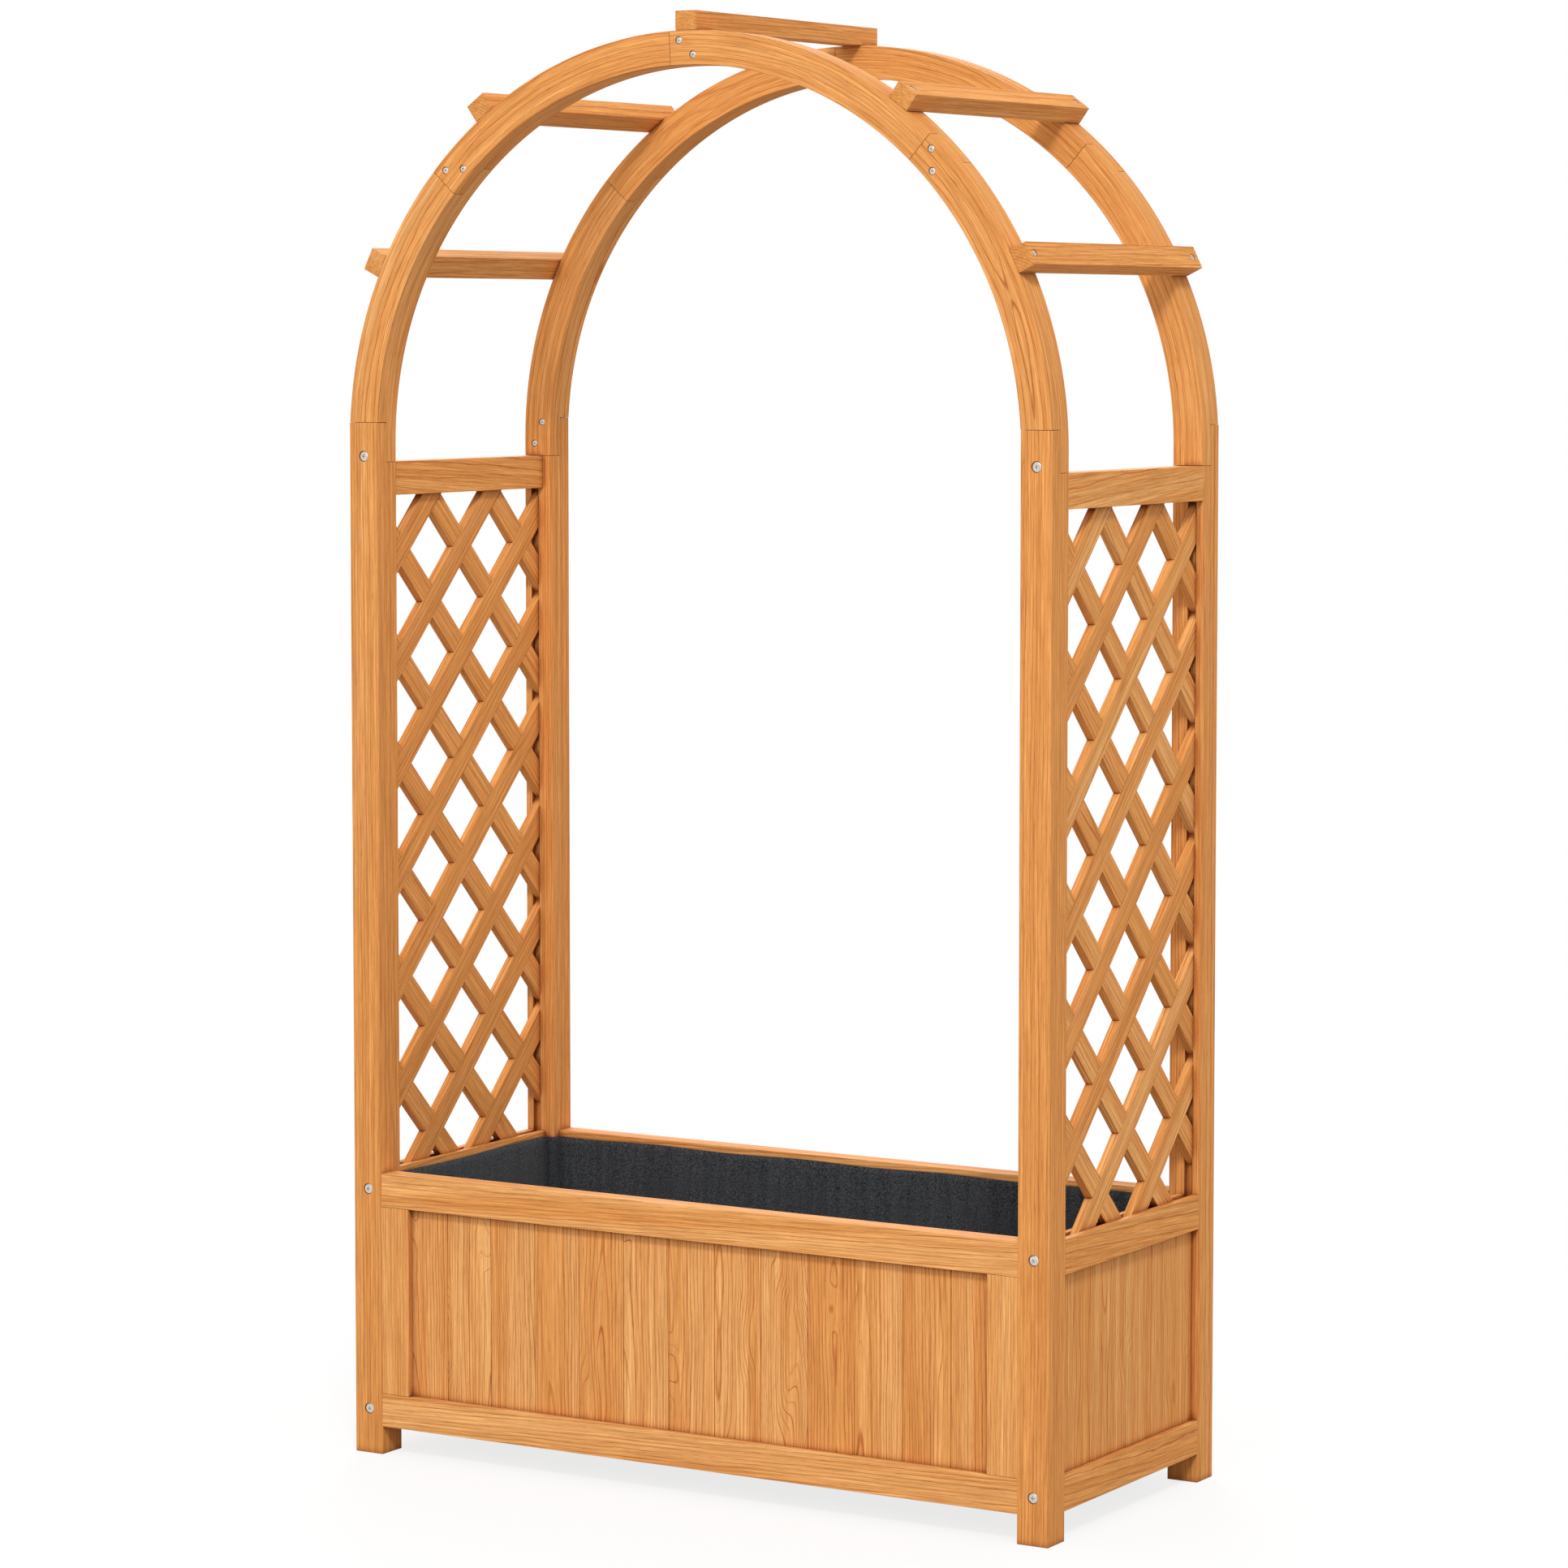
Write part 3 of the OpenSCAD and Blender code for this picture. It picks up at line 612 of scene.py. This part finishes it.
def segment_rule():
    tree, size, result = rule("bent arch segment", {
        "Screw Heads": "Geometry", "Middle Radius": 0.441, "Section": 0.038, "Steps": 60,
        "From": 0.0, "To": 0.785, "Front Cut": 0.0, "Back Cut": 0.0, "Shoulder": -1.0,
        "Timber": "Material"})
    # A straight bar is bent round the arch: its X becomes the angle and its Z the radius.
    # Past the ends of the half circle it runs straight down.
    bar = block(tree, (1, size["Section"], size["Section"]), (0.5, 0, 0), size["Steps"])
    xyz = fit(tree, "ShaderNodeSeparateXYZ", {0: fit(tree, "GeometryNodeInputPosition")}).outputs
    angle = fit(tree, "ShaderNodeMapRange", {0: xyz["X"], 3: size["From"], 4: size["To"]})
    bend = fit(tree, "ShaderNodeClamp", {0: angle, 1: 0.0, 2: math.pi})
    down = times(tree, calc(tree, "ABSOLUTE", less(tree, angle, bend)), size["Middle Radius"])
    radius = plus(tree, xyz["Z"], size["Middle Radius"])
    bent = xyz_of(tree, times(tree, radius, calc(tree, "COSINE", bend)), xyz["Y"],
                  less(tree, times(tree, radius, calc(tree, "SINE", bend)), down))
    bar = fit(tree, "GeometryNodeSetPosition", {"Geometry": bar, "Position": bent})
    bar = fit(tree, "GeometryNodeFlipFaces", {0: bar})
    # The waste of the two half laps and of the shoulder that stands on the post.
    wide, tall, past = 0.09, 0.08, 0.01
    half = times_plus(tree, size["Section"], 0.5, past)
    middle = times(tree, half, 0.5)

    def waste(angle, side):
        """What a lap leaves off past an angle, on the front half, -1, or the back half, 1."""
        piece = block(tree, (wide, half, tall),
                      (size["Middle Radius"], times(tree, middle, side), side * tall / 2))
        return moved(tree, piece, turn=xyz_of(tree, y=times(tree, angle, -1.0)))

    shoulder = block(tree, (1.2, half, tall), (0, times(tree, middle, -1.0),
                                               less(tree, size["Shoulder"], tall / 2)))
    bores = copies(tree, bore(tree), size["Screw Heads"], (math.pi / 2, 0, 0))
    bar = cut_away(tree, bar, waste(size["Front Cut"], -1.0), waste(size["Back Cut"], 1.0),
                   shoulder, bores)
    return finish_rule(tree, bar, size["Timber"], result)


round_grain = grain_round_arch()
segment_tree = segment_rule()
gap = joint / arch_middle
leg = (post_lap / 2 - joint) / arch_middle
screw_step, screw_edge = 0.009, 0.011
foot_edge, foot_drop, foot_rise = 0.0135, 0.005, 0.015
joint_screws, foot_screws = [], []
for arch, facing, seed in (("front", 1, 21), ("back", -1, 22)):
    seat = Matrix.Translation((0, -facing * post_y, spring)) @ Matrix.Rotation(
        0 if facing > 0 else math.pi, 4, "Z")
    for i in (1, 2, 3, 4):
        low, high = math.radians(180 - 45 * i), math.radians(225 - 45 * i)
        at_left, at_right = i == 1, i == 4
        heads, feet = [], []
        if not at_left:
            for step, radius in ((screw_step, half_length - screw_edge),
                                 (-screw_step, half_length - post + screw_edge)):
                a = high + step / arch_middle
                heads.append(Vector((radius * math.cos(a), -post / 2, radius * math.sin(a))))
        # The foot on the back right post is held by screws that come through the post.
        if at_right or (at_left and facing > 0):
            for inward, z in ((post - foot_edge, post_lap / 2 - foot_drop),
                              (foot_edge, foot_rise - post_lap / 2)):
                x = half_length - inward
                feet.append(Vector((x if at_right else -x, post / 2, z)))
        joint_screws += [(seat @ spot, seat.to_3x3() @ Vector((0, -1, 0))) for spot in heads]
        foot_screws += [(seat @ spot, seat.to_3x3() @ Vector((0, 1, 0))) for spot in feet]
        node = f"{arch}_arch_{i}"
        pick = random.Random(seed * 10 + i)
        timber = softwood(node + " timber", round_grain, line_strength=0.7, line_width=0.15, eyes=0.005,
                          pith=(pick.uniform(-0.05, 0.05), facing * (post_y + 0.03), pick.uniform(0, 5)),
                          wander=0.006, wander_rate=2.0, ring_width=0.0042, warmth=pick.uniform(0.60, 0.72))
        start = bpy.data.meshes.new(node + "_bent")
        start.from_pydata(heads + feet, [], [])
        segment = make(node + "_bent", segment_tree, {
            "Middle Radius": arch_middle, "Section": post,
            "From": -leg if at_right else low - lap_angle,
            "To": math.pi + leg if at_left else high + lap_angle - gap,
            "Front Cut": -1.0 if at_right else low + lap_angle,
            "Back Cut": math.pi + 1.0 if at_left else high - lap_angle - gap,
            "Shoulder": post_lap / 2 + joint if at_left or at_right else -0.5, "Timber": timber}, start)
        segment.data.transform(seat)
        ease(segment, 0.0005)
        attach(segment, "root")
        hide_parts(node)

# Five straight slats, 27 by 21.5 mm, lie across the two arches, flush with their faces at
# both ends. Each sits flat on the curve and is screwed down into both arches.
slat_wide, slat_thick = 0.027, 0.0215
slat_screw_inset = 0.012
clear_of_arch = 0.0001
slat_middle = half_length + clear_of_arch + slat_thick / 2
inner_tilt, outer_tilt = math.radians(35.9), math.radians(63.9)


def slat_rule():
    tree, size, result = rule("slats across the arches", {
        "Radius": 0.47, "Spring": 1.184, "Inner Tilt": 0.6, "Outer Tilt": 1.1, "Width": 0.027,
        "Thickness": 0.0215, "Length": 0.4, "Inset": 0.012, "Timber": "Material"})
    slat = block(tree, (size["Width"], size["Length"], size["Thickness"]))
    screw_y = times_plus(tree, size["Length"], 0.5, times(tree, size["Inset"], -1.0))
    top = times(tree, size["Thickness"], 0.5)
    for side in (-1.0, 1.0):
        head = xyz_of(tree, 0.0, times(tree, screw_y, side), top)
        slat = cut_away(tree, slat, moved(tree, bore(tree), head))
    place = less(tree, fit(tree, "GeometryNodeInputIndex"), 2.0)
    is_inner = calc(tree, "COMPARE", calc(tree, "ABSOLUTE", place), 1.0, 0.1)
    tilt = fit(tree, "ShaderNodeMix", {0: is_inner, 2: size["Outer Tilt"], 3: size["Inner Tilt"]},
               data_type="FLOAT").outputs[0]
    tilt = times(tree, calc(tree, "SIGN", place), tilt)
    spot = xyz_of(tree, times(tree, calc(tree, "SINE", tilt), size["Radius"]), 0.0,
                  times_plus(tree, calc(tree, "COSINE", tilt), size["Radius"], size["Spring"]))
    points = fit(tree, "GeometryNodeStoreNamedAttribute", {
        "Geometry": points_along(tree, 5, (0, 0, 0), (0, 0, 0)), "Name": "lean",
        "Value": xyz_of(tree, y=tilt)}, data_type="FLOAT_VECTOR")
    points = fit(tree, "GeometryNodeSetPosition", {"Geometry": points, "Position": spot})
    leaning = fit(tree, "GeometryNodeInputNamedAttribute", {"Name": "lean"}, data_type="FLOAT_VECTOR")
    slats = copies(tree, slat, points, fit(tree, "FunctionNodeEulerToRotation", {0: leaning}))
    return finish_rule(tree, slats, size["Timber"], result)


timber = softwood("slat timber", "laid", wander=0.006, line_strength=0.6, ring_width=0.0036)
slats = make("cross_slats", slat_rule(), {
    "Radius": slat_middle, "Spring": spring, "Inner Tilt": inner_tilt, "Outer Tilt": outer_tilt,
    "Width": slat_wide, "Thickness": slat_thick, "Length": 2 * half_depth,
    "Inset": slat_screw_inset, "Timber": timber})
slat_tilts = (-outer_tilt, -inner_tilt, 0.0, inner_tilt, outer_tilt)


def in_slat(point, number=None):
    above = point - Vector((0, 0, spring))
    if number is None:
        number = min(range(5), key=lambda n: abs(slat_tilts[n] - math.atan2(above.x, above.z)))
    own = Matrix.Rotation(-slat_tilts[number], 3, "Y") @ above
    return number, Vector((own.x, own.z - slat_middle, own.y)), Vector((0, 1, 0))


lay_grain(slats, 31, in_slat, (0.05, 0.02), 0.04, (0.55, 0.72))
ease(slats, 0.0005)
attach(slats, "root")
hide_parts("cross_slat_1", "cross_slat_2", "cross_slat_3", "cross_slat_4", "cross_slat_5")

# Two square cleats are screwed along the inside of the long bottom rails. Boards of 12 mm
# softwood lie across them with gaps between, so that water drains from the box.
dress("floor_cleats", "X", (0.03, 0.05, 0.0), wander=0.01, line_strength=0.6)
dress("floor_boards", "Y", (0.0, 0.09, 0.3), wander=0.02, line_strength=0.8)

# A bag of dark grey non-woven felt lines the box. It lies on the floor boards, stands up
# against the rails to just below the rim, and steps softly round the four posts.
floor_top = 0.068
liner_top = box_top - 0.007
felt_thick = 0.0013
felt_clear = 0.0014
felt_lift = 0.0006


def liner_outline():
    """Points round the inside of the box, rounded where the felt turns a corner."""
    r, p = rail_thick + felt_clear, post + felt_clear
    x0, x1, y0, y1 = -half_length + r, -half_length + p, -half_depth + r, -half_depth + p
    corners = [(x0, y1), (x1, y1), (x1, y0), (-x1, y0), (-x1, y1), (-x0, y1),
               (-x0, -y1), (-x1, -y1), (-x1, -y0), (x1, -y0), (x1, -y1), (x0, -y1)]
    corners = [Vector(c) for c in corners]
    round_off, spacing = 0.0045, 0.006
    outline = []
    for i, corner in enumerate(corners):
        before, after = corners[i - 1], corners[(i + 1) % len(corners)]
        a = corner + (before - corner).normalized() * round_off
        b = corner + (after - corner).normalized() * round_off
        for k in range(7):
            t = k / 6
            outline.append((1 - t) ** 2 * a + 2 * t * (1 - t) * corner + t * t * b)
    dense = []
    for i, point in enumerate(outline):
        after = outline[(i + 1) % len(outline)]
        steps = max(1, round((after - point).length / spacing))
        dense += [point.lerp(after, k / steps) for k in range(steps)]
    return dense


outline = liner_outline()
wall_rings = 34
wall_foot = floor_top + 0.001
off_wall, most_slack, rim_wave = 0.0003, 0.0026, 0.0008
shell = bmesh.new()
rings = []
for row in range(wall_rings + 1):
    # Between the rim and the floor the wall hangs slack.
    t = row / wall_rings
    z = liner_top + (wall_foot - liner_top) * t
    free = math.sin(math.pi * min(1.0, max(0.0, (t - 0.10) / 0.9)))
    ring = []
    for i, point in enumerate(outline):
        before, after = outline[i - 1], outline[(i + 1) % len(outline)]
        inward = (after - before).normalized()
        inward = Vector((-inward.y, inward.x))
        slack = noise.noise(Vector((point.x * 9, point.y * 9, z * 5))) + 0.35
        spot = point + inward * (off_wall + most_slack * max(0.0, slack) * free)
        lip = rim_wave * math.sin(point.x * 31 + point.y * 23) if row == 0 else 0.0
        ring.append(shell.verts.new((spot.x, spot.y, z + lip)))
    rings.append(ring)
core_inset = 0.075
core_x, core_y = half_length - core_inset, half_depth - core_inset
for t in (0.02, 0.07, 0.15, 0.26, 0.4, 0.56, 0.74, 0.92):
    ring = []
    for vert in rings[wall_rings]:
        core = Vector((min(core_x, max(-core_x, vert.co.x)), min(core_y, max(-core_y, vert.co.y))))
        core.y *= 0.02
        flat = vert.co.xy.lerp(core, t)
        ripple = felt_lift * (noise.noise(Vector((flat.x * 14, flat.y * 14, 3.0))) + 1.0)
        ring.append(shell.verts.new((flat.x, flat.y, floor_top + felt_lift + ripple * min(1, t * 4))))
    rings.append(ring)
for upper, lower in zip(rings, rings[1:]):
    for i in range(len(outline)):
        j = (i + 1) % len(outline)
        shell.faces.new((upper[i], upper[j], lower[j], lower[i]))
shell.faces.new(rings[-1])
bmesh.ops.recalc_face_normals(shell, faces=shell.faces)
felt_mesh = bpy.data.meshes.new("liner_bag")
shell.to_mesh(felt_mesh)
shell.free()
felt_mesh.shade_smooth()
liner = stand("liner_bag", felt_mesh)

felt, tree, shader = surface("felt")
spot = fit(tree, "ShaderNodeTexCoord").outputs["Object"]
specks = rise(tree, fine_noise(tree, spot, 1150.0, 1.0), 0.40, 0.66)
clumps = rise(tree, fine_noise(tree, spot, 480.0, 1.0), 0.36, 0.66)
upright = calc_vector(tree, "MULTIPLY", spot, (130, 130, 5))
streaks = rise(tree, fine_noise(tree, upright, 1.0, 2.0), 0.3, 0.7)
mottle = times_plus(tree, specks, 0.62, times(tree, clumps, 0.20))
mottle = times_plus(tree, streaks, 0.12, mottle)
tone = mix(tree, mottle, (0.004, 0.005, 0.0065, 1), (0.102, 0.110, 0.122, 1))
# Painted shade: the felt is darkened where ambient occlusion finds it hemmed in, as in the crease by each
# post.
corner = fit(tree, "ShaderNodeAmbientOcclusion", {"Distance": 0.02}, samples=6)
painted_crease_shade = rise(tree, corner.outputs["AO"], 0.35, 0.95, 0.25, 1.0)
feed(tree, shader, {
    "Base Color": fit(tree, "ShaderNodeVectorMath", {0: tone, 3: painted_crease_shade}, operation="SCALE"),
    "Roughness": 0.95, "Specular IOR Level": 0.15, "Sheen Weight": 0.15,
    "Normal": fit(tree, "ShaderNodeBump", {"Height": plus(tree, specks, clumps), "Strength": 0.5,
                                           "Distance": 0.0006})})
felt_mesh.materials.append(felt)
wall = liner.modifiers.new("felt", "SOLIDIFY")
wall.thickness = felt_thick
wall.offset = 0.0
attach(liner, "root")
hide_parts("liner")
wall_high = liner_top - floor_top
bag_x, bag_y = 2 * (half_length - rail_thick), 2 * (half_depth - rail_thick)
cut = (bag_x + 2 * wall_high, bag_y + 2 * wall_high)

# Zinc-plated steel with cross recesses. Broad-headed bolts hold the side rails and the
# arch tongues to the posts; screws hold the half laps, the slats, the cleats and the floor.


def fastener(name, head, head_high, shank, length):
    """A turned head and shank with a cross recess, in shares of its sizes. The top is at 0
    and the shank points down."""
    dome = head_high * 0.10
    profile = [(0.0, 0.0), (head * 0.33, -dome * 0.3), (head * 0.44, -dome * 1.1),
               (head * 0.48, -dome * 2.2), (head * 0.5, -dome * 4.0), (head * 0.5, -head_high),
               (shank / 2, -head_high)]
    # The thread starts a third of the way down.
    z = -head_high - (length - head_high) * 0.35
    while z > -length + shank:
        profile += [(shank * 0.40, z), (shank * 0.5, z - shank * 0.12)]
        z -= shank * 0.35
    profile += [(shank * 0.38, -length + shank * 0.8), (0.0, -length)]
    body = bmesh.new()
    sides = 40
    turns = [2 * math.pi * k / sides for k in range(sides)]
    around = [[body.verts.new((r * math.cos(a), r * math.sin(a), z)) for a in turns] if r
              else [body.verts.new((0, 0, z))] for r, z in profile]
    for upper, lower in zip(around, around[1:]):
        for k in range(sides):
            j = (k + 1) % sides
            corners = [upper[k % len(upper)], lower[k % len(lower)],
                       lower[j % len(lower)], upper[j % len(upper)]]
            body.faces.new(list(dict.fromkeys(corners)))
    bmesh.ops.recalc_face_normals(body, faces=body.faces)
    plain = stand(name, bpy.data.meshes.new(name))
    body.to_mesh(plain.data)
    body.free()
    cross = bmesh.new()
    for turn in (0, math.pi / 2):
        arm = bmesh.ops.create_cube(cross, size=1.0)["verts"]
        for vert in arm:
            taper = 1.0 if vert.co.z > 0 else 0.45
            vert.co = Vector((vert.co.x * head * 0.46 * taper, vert.co.y * head * 0.11 * (0.6 + 0.4 * taper),
                              -head_high * 0.65 if vert.co.z < 0 else 0.002))
        bmesh.ops.rotate(cross, verts=arm, cent=(0, 0, 0), matrix=Matrix.Rotation(turn, 3, "Z"))
    driver = stand(name + " recess", bpy.data.meshes.new(name + " recess"))
    cross.to_mesh(driver.data)
    cross.free()
    punch = plain.modifiers.new("recess", "BOOLEAN")
    punch.object = driver
    punch.solver = "EXACT"
    punch.use_self = True
    as_built(plain)
    bpy.data.objects.remove(driver)
    plain.data.shade_smooth()
    plain.data.set_sharp_from_angle(angle=math.radians(28))
    return plain


def driving_rule():
    tree, size, result = rule("fasteners driven home", {
        "Places": "Geometry", "Fastener": "Object", "Seed": 1, "Steel": "Material"})
    shape = fit(tree, "GeometryNodeObjectInfo", {"Object": size["Fastener"]}).outputs["Geometry"]
    outward = fit(tree, "GeometryNodeInputNamedAttribute", {"Name": "outward"}, data_type="FLOAT_VECTOR")
    aimed = fit(tree, "FunctionNodeAlignRotationToVector", {"Vector": outward.outputs[0]}, axis="Z")
    twist = fit(tree, "FunctionNodeRandomValue", {2: -math.pi, 3: math.pi, "Seed": size["Seed"]},
                data_type="FLOAT")
    twist = fit(tree, "FunctionNodeEulerToRotation", {0: xyz_of(tree, z=twist)})
    aimed = fit(tree, "FunctionNodeRotateRotation", {0: aimed, 1: twist}, rotation_space="LOCAL")
    return finish_rule(tree, copies(tree, shape, size["Places"], aimed), size["Steel"], result)


steel, tree, shader = surface("zinc plate")
spot = fit(tree, "ShaderNodeTexCoord").outputs["Object"]
cloud = fine_noise(tree, spot, 420.0, 3.0, 0.6)
feed(tree, shader, {
    "Base Color": mix(tree, rise(tree, cloud, 0.3, 0.7), (0.53, 0.50, 0.45, 1), (0.76, 0.72, 0.65, 1)),
    "Roughness": rise(tree, cloud, 0.3, 0.7, 0.28, 0.42, "LINEAR"), "Metallic": 0.85,
    "Normal": fit(tree, "ShaderNodeBump", {"Height": fine_noise(tree, spot, 2600.0), "Strength": 0.12,
                                           "Distance": 0.0002})})

driving_tree = driving_rule()
bolt = (0.012, 0.003, 0.006)
screw = (0.008, 0.0024, 0.0036)
sink = 0.0006


def drive(node, places, sizes, length, seed):
    """Sets a fastener at each place on the surface, given with the way its head faces."""
    shape = fastener(node + "_shape", *sizes, length)
    points = bpy.data.meshes.new(node + "_driven")
    points.from_pydata([spot - way * sink for spot, way in places], [], [])
    outward = points.attributes.new("outward", "FLOAT_VECTOR", "POINT")
    for i, (_, way) in enumerate(places):
        outward.data[i].vector = way
    piece = make(node + "_driven", driving_tree, {"Fastener": shape, "Seed": seed, "Steel": steel}, points)
    bpy.data.objects.remove(shape)
    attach(piece, "root")
    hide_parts(node)


def bolts_at(*heights):
    """A place on the outer face of each post at each height."""
    return [(Vector((sx * post_x, sy * half_depth, z)), Vector((0, sy, 0)))
            for sx in (-1, 1) for sy in (-1, 1) for z in heights]


lap_bolt_rise = 0.007
drive("frame_bolts", bolts_at(low_rail, top_rail), bolt, 0.075, 1)
drive("lap_bolts", bolts_at(spring - post_lap / 2 + lap_bolt_rise), bolt, 0.032, 2)

# The two screws of the back right foot come through the post.
back_foot_rise = 0.020
for inward, z in ((post - foot_edge, post_lap / 2 - foot_drop), (foot_edge, back_foot_rise - post_lap / 2)):
    foot_screws.append((Vector((half_length - inward, half_depth, spring + z)), Vector((0, 1, 0))))
drive("post_lap_screws", foot_screws, screw, 0.030, 3)
drive("arch_screws", joint_screws, screw, 0.030, 4)

slat_screws = []
for tilt in slat_tilts:
    up = Vector((math.sin(tilt), 0, math.cos(tilt)))
    for side in (-1, 1):
        across = Vector((0, side * (half_depth - slat_screw_inset), spring))
        slat_screws.append((up * (slat_middle + slat_thick / 2) + across, up))
drive("slat_screws", slat_screws, screw, 0.038, 5)

floor_pitch, floor_gap, floor_count = 0.105, 0.008, 8
floor_start = -(floor_count * floor_pitch - floor_gap) / 2
cleat, cleat_rise = 0.020, 0.003
cleat_middle = foot + cleat_rise + cleat / 2
cleat_screws, floor_screws = [], []
for side in (1, -1):
    for i in range(floor_count):
        x = side * (floor_start + i * floor_pitch)
        y = side * (rail_thick + cleat - half_depth)
        middle = x + side * (floor_pitch - floor_gap) / 2
        floor_screws.append((Vector((middle, y - side * cleat / 2, floor_top)), Vector((0, 0, 1))))
        if i % 2:
            cleat_screws.append((Vector((x - side * floor_gap / 2, y, cleat_middle)), Vector((0, side, 0))))
drive("cleat_screws", cleat_screws, screw, 0.036, 6)
drive("floor_screws", floor_screws, screw, 0.026, 7)

# The planter stands on a plain white floor in soft light from the upper right of its front.
# The camera stands at its front right, a little higher than the heads of the posts.
ground = bpy.data.meshes.new("studio_floor")
ground.from_pydata([(-30, -30, 0), (30, -30, 0), (30, 30, 0), (-30, 30, 0)], [], [(0, 1, 2, 3)])
floor_piece = stand("studio_floor", ground)


def seen_directly(tree, ray):
    """1 where it is seen, also by way of something shiny or clear."""
    seen = calc(tree, "MAXIMUM", ray["Is Camera Ray"], ray["Is Glossy Ray"])
    return calc(tree, "MAXIMUM", seen, ray["Is Transmission Ray"])


paper, tree, shader = surface("white paper")
ray = fit(tree, "ShaderNodeLightPath").outputs
# The paper throws back less light than it shows, so that undersides stay in shade.
tone = mix(tree, ray["Is Diffuse Ray"], (0.90, 0.90, 0.90, 1), (0.45, 0.45, 0.45, 1))
feed(tree, shader, {"Base Color": tone, "Roughness": 0.9, "Specular IOR Level": 0.0})
white = fit(tree, "ShaderNodeEmission", {"Color": (1, 1, 1, 1), "Strength": 1.0})
spot = fit(tree, "ShaderNodeTexCoord").outputs["Object"]
away = calc_vector(tree, "LENGTH", spot).outputs["Value"]
near = rise(tree, away, 0.4, 1.2, 0.20, 0.0)
whiteness = times(tree, seen_directly(tree, ray), less(tree, 1.0, near))
lit = fit(tree, "ShaderNodeMixShader", {0: whiteness, 1: shader.outputs[0], 2: white})
# From below the floor is clear, so that the underside of the box can be seen.
below = fit(tree, "ShaderNodeNewGeometry").outputs["Backfacing"]
lit = fit(tree, "ShaderNodeMixShader", {0: below, 1: lit, 2: fit(tree, "ShaderNodeBsdfTransparent")})
feed(tree, tree.nodes["Material Output"], {"Surface": lit})
ground.materials.append(paper)

world = bpy.data.worlds.new("studio")
scene.world = world
world.use_nodes = True
tree = world.node_tree
seen = seen_directly(tree, fit(tree, "ShaderNodeLightPath").outputs)
strength = fit(tree, "ShaderNodeMix", {0: seen, 2: 0.71, 3: 1.0}, data_type="FLOAT").outputs[0]
feed(tree, tree.nodes["Background"], {"Color": (1, 1, 1, 1), "Strength": strength})


def lamp(name, place, size, power):
    light = bpy.data.lights.new(name, "AREA")
    light.shape = "DISK"
    light.size = size
    light.energy = power
    holder = stand(name, light)
    holder.location = place
    aim = Vector((0, 0, 0.9)) - Vector(place)
    holder.rotation_euler = aim.to_track_quat("-Z", "Y").to_euler()


lamp("key", (4.4, -6.4, 7.9), 2.0, 550)
lamp("front", (0.6, -9.2, 5.5), 3.6, 138)
lamp("back", (-4.8, 7.6, 4.3), 4.0, 340)

view = bpy.data.cameras.new("camera")
view.sensor_width = 36
view.lens = 114.99
view.shift_y = -0.05
view.clip_end = 100
camera = stand("camera", view)
camera.location = (2.9686, -4.9125, 1.3146)
camera.rotation_euler = (math.radians(90 - 4.298), 0, math.radians(31.09))
scene.camera = camera
scene.view_settings.view_transform = "Standard"
